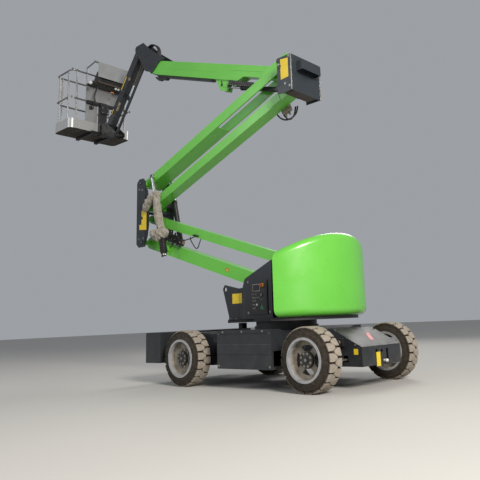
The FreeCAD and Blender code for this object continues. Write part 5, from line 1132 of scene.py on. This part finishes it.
def jibPieces(sizes):
    form = bmesh.new()
    for x, z in sizes["pins"]:
        for side in (1, -1):
            addSteps(form, x, z, side, ((92, 106, 20, 1, 24), (106, 111, 9, 0, 6)))
    for x, z in sizes["headBolts"]:
        addSteps(form, x, z, 1, ((96, 104, 9, 1, 6),))
    finishForm("headPins", form, [zinc, dark], "jib_head", 1)
    form = bmesh.new()
    low, high = sizes["stripRise"]
    for start, end in sizes["strips"]:
        addPlate(form, [jibArm(along, 56, rise) for along, rise in (
            (start, low), (end, low), (end, high), (start, high))], (0, 1.6, 0))
    finishForm("jibStrips", form, [yellow], "jib", 0)
    for offset in sizes["archSides"]:
        pipe("archHose%d" % offset, [(x, 50 - offset, z) for x, z in sizes["arch"]],
             13, hoseRubber, "jib_head")
    form = bmesh.new()
    # tan fittings and clamps on the jib beside its ram
    for along, rise, long, half, slot in sizes["fittings"]:
        spot = jibArm(along, 66, rise)
        reach = jibArm.ahead * long / 2
        addRod(form, spot - reach, spot + reach, half, slot, 18)
        addRod(form, spot - Vector((0, 24, 0)), spot + Vector((0, 18, 0)), half * 0.55, 2, 6)
    finishForm("jibFittings", form, [tan, plastic, zinc], "jib", 2)
    for index, (rise, side) in enumerate(sizes["hoses"]):
        places = [jibArm(along, side, rise + (5 if count % 2 else -5))
                  for count, along in enumerate(range(*sizes["hoseSpan"]))]
        pipe("jibHose%d" % index, places, 8, hoseRubber, "jib")


jibPieces(jibSizes)
print("jib dressed")

# lower arms: valve block with its hoses near the middle knuckle, V of hose under the link
lowerSizes = {"side": 108, "drop": [(1850, 86, 2112), (1842, 98, 2086), (1812, 108, 2046),
                                    (1768, 108, 1990), (1724, 108, 1938), (1686, 108, 1908),
                                    (1646, 108, 1922), (1622, 108, 1966), (1606, 102, 2012),
                                    (1600, 90, 2052)],
              "feed": [(1975, 108, 2068), (1900, 108, 2080), (1834, 108, 2079), (1780, 102, 2090),
                       (1735, 92, 2106)],
              "blocks": ((2290, 2400, 2130, 2215, 22, 0), (2110, 2300, 2060, 2185, 26, 0),
                         (2000, 2130, 2000, 2100, 22, 1), (1960, 2010, 2010, 2060, 20, 2)),
              "unions": ((2330, 2120, 22, 60), (2240, 2062, 24, 70), (2150, 2040, 20, 60),
                         (2070, 1998, 18, 50), (2290, 2230, 17, 40), (2180, 2195, 17, 40)),
              "screws": ((2362, 2165), (2256, 2128), (2180, 2110), (2060, 2052)),
              "hoseLifts": (0, 20, 38), "clips": (2030, 2091), "blockTurn": -0.32}


def lowerPieces(sizes):
    side = sizes["side"]
    form = bmesh.new()
    turn = Matrix.Rotation(sizes["blockTurn"], 3, "Y")
    for x0, x1, z0, z1, wide, slot in sizes["blocks"]:
        addBlock(form, (x0, side - 5, z0), (x1, side + wide, z1), slot, turn)
    for x, z, radius, long in sizes["unions"]:
        addRod(form, (x, side + 10, z + long / 2), (x + 8, side + 10, z - long / 2), radius, 1, 16)
        addRod(form, (x, side + 10, z + long / 2), (x - 2, side + 10, z + long / 2 + 12),
               radius * 0.6, 3, 6)
    for x, z in sizes["screws"]:
        addSteps(form, x, z, 1, ((side + 20, side + 34, 14, 3, 6),))
    finishForm("lowerValves", form, [plastic, blackMetal, tan, zinc], "lower_link", 2.5)
    for index, lift in enumerate(sizes["hoseLifts"]):
        pipe("valveHose%d" % index, [(2420, side + 8, 2190 + lift), (2350, side + 18, 2175 + lift),
                                     (2240, side + 26, 2120 + lift), (2120, side + 26, 2084 + lift),
                                     (2010, side + 20, 2062 + lift / 2), (1960, side + 12, 2075)],
             9, hoseRubber, "lower_link")
    freeHose("linkHose", sizes["drop"], 8, "lower_link")
    pipe("linkFeed", sizes["feed"], 8, hoseRubber, "lower_link")
    form = bmesh.new()
    for along in sizes["clips"]:
        spot = lowerLink(along, 70, -40)
        addBlock(form, spot - Vector((16, 0, 12)), spot + Vector((16, 46, 12)), 0)
    finishForm("linkClips", form, [plastic], "lower_link", 2)


lowerPieces(lowerSizes)
print("lower link dressed")

# platform: console's knobs and cable, rail clamps, floor ribs, plates on the support
platformSizes = {"front": 4395, "knobs": ((-140, 5392, 24), (-197, 5392, 24), (409, 5374, 34)),
                 "cable": [(4440, 235, 5330), (4436, 262, 5260), (4432, 292, 5180),
                           (4436, 296, 5110), (4446, 276, 5050), (4470, 250, 5010)],
                 "clamps": [(4664, y, z) for y in (-640, -530, 530, 640) for z in (5110, 5678)]
                 + [(5244, y, 5678) for y in (-400, 0, 400)], "ribs": (-560, 561, 160)}


def platformPieces(sizes):
    form = bmesh.new()
    for y, z, radius in sizes["knobs"]:
        addBall(form, (sizes["front"], y, z), radius, 0)
    addBall(form, (sizes["front"], -60, 5292), 26, 1, (1, 1.3, 0.7))
    # brown front strip, dark edge and two levers
    addBlock(form, (4392, -340, 5425), (4404, 250, 5462), 2)
    addBlock(form, (4388, -300, 5478), (4402, 180, 5488), 3)
    for y in (-230, 60):
        addRod(form, (4520, y, 5560), (4516, y, 5640), 13, 3, 14)
        addBall(form, (4515, y, 5646), 22, 3)
    finishForm("consoleKnobs", form, [white, orange, brown, plastic], "platform", 2)
    pipe("consoleCable", sizes["cable"], 17, hoseRubber, "platform")
    form = bmesh.new()
    # clamps where rails meet posts
    for x, y, z in sizes["clamps"]:
        addRod(form, (x, y - 9, z), (x, y + 9, z), 21, 0, 20)
    finishForm("railClamps", form, [aluminium], "platform", 1.5)
    form = bmesh.new()
    # stiffening folds under the floor
    for y in range(*sizes["ribs"]):
        addBlock(form, (4700, y - 16, 4506), (5230, y + 16, 4512), 0)
    finishForm("floorRibs", form, [floorMetal], "platform", 1.5)
    form = bmesh.new()
    for y in (-240, 240):
        addBlock(form, (4612, y - 34, 4950), (4664, y + 34, 5010), 0)
        addRod(form, (4600, y, 4980), (4590, y, 4980), 12, 1, 6)
    addBlock(form, (4560, -96, 4880), (4610, 62, 5028), 0)
    for y, z in ((40, 5000), (-70, 5000), (40, 4910), (-70, 4910)):
        addRod(form, (4560, y, z), (4550, y, z), 10, 1, 6)
    finishForm("supportPlates", form, [blackMetal, zinc], "platform", 2)


platformPieces(platformSizes)
print("platform dressed")

# floor and light
studio = {"floor": 60.0, "floorColour": (0.47, 0.455, 0.43), "sky": (0.80, 0.84, 0.90),
          "skyStrength": 0.42,
          "lamps": (("keyLight", (-10500, 5400, 6600), (0, 0, 2000), 4.0, 2050, (1.0, 0.955, 0.89)),
                    ("fillLight", (6000, 9000, 6000), (1000, 0, 2500), 6.0, 220,
                     (0.92, 0.96, 1.0)),
                    ("rimLight", (3000, -9000, 9000), (0, 0, 3000), 6.0, 500,
                     (1.0, 0.98, 0.95)))}


def makeStudio(sizes):
    mesh = bpy.data.meshes.new("studioFloor")
    reach = sizes["floor"]
    mesh.from_pydata([(-reach, -reach, 0), (reach, -reach, 0), (reach, reach, 0),
                      (-reach, reach, 0)], [], [(0, 1, 2, 3)])
    floor = addObject("studioFloor", mesh)
    made = Finish("studioFloor")
    tone = made.mix(made.cloud(0.6, 0.3, 0.7), sizes["floorColour"],
                    tuple(part * 0.97 for part in sizes["floorColour"]))
    mesh.materials.append(made.finish(tone, 0.85))
    world = bpy.data.worlds.new("softSky")
    bpy.context.scene.world = world
    world.use_nodes = True
    background = world.node_tree.nodes["Background"]
    background.inputs["Color"].default_value = (*sizes["sky"], 1)
    background.inputs["Strength"].default_value = sizes["skyStrength"]
    bpy.context.scene.view_settings.view_transform = "Standard"
    for name, spot, aim, size, power, colour in sizes["lamps"]:
        data = bpy.data.lights.new(name, "AREA")
        data.shape = "DISK"
        data.size = size
        data.energy = power
        data.color = colour
        item = addObject(name, data)
        item.location = toFrame(spot)
        line = toFrame(aim) - toFrame(spot)
        item.rotation_euler = line.to_track_quat("-Z", "Y").to_euler()


makeStudio(studio)
print("studio lit")
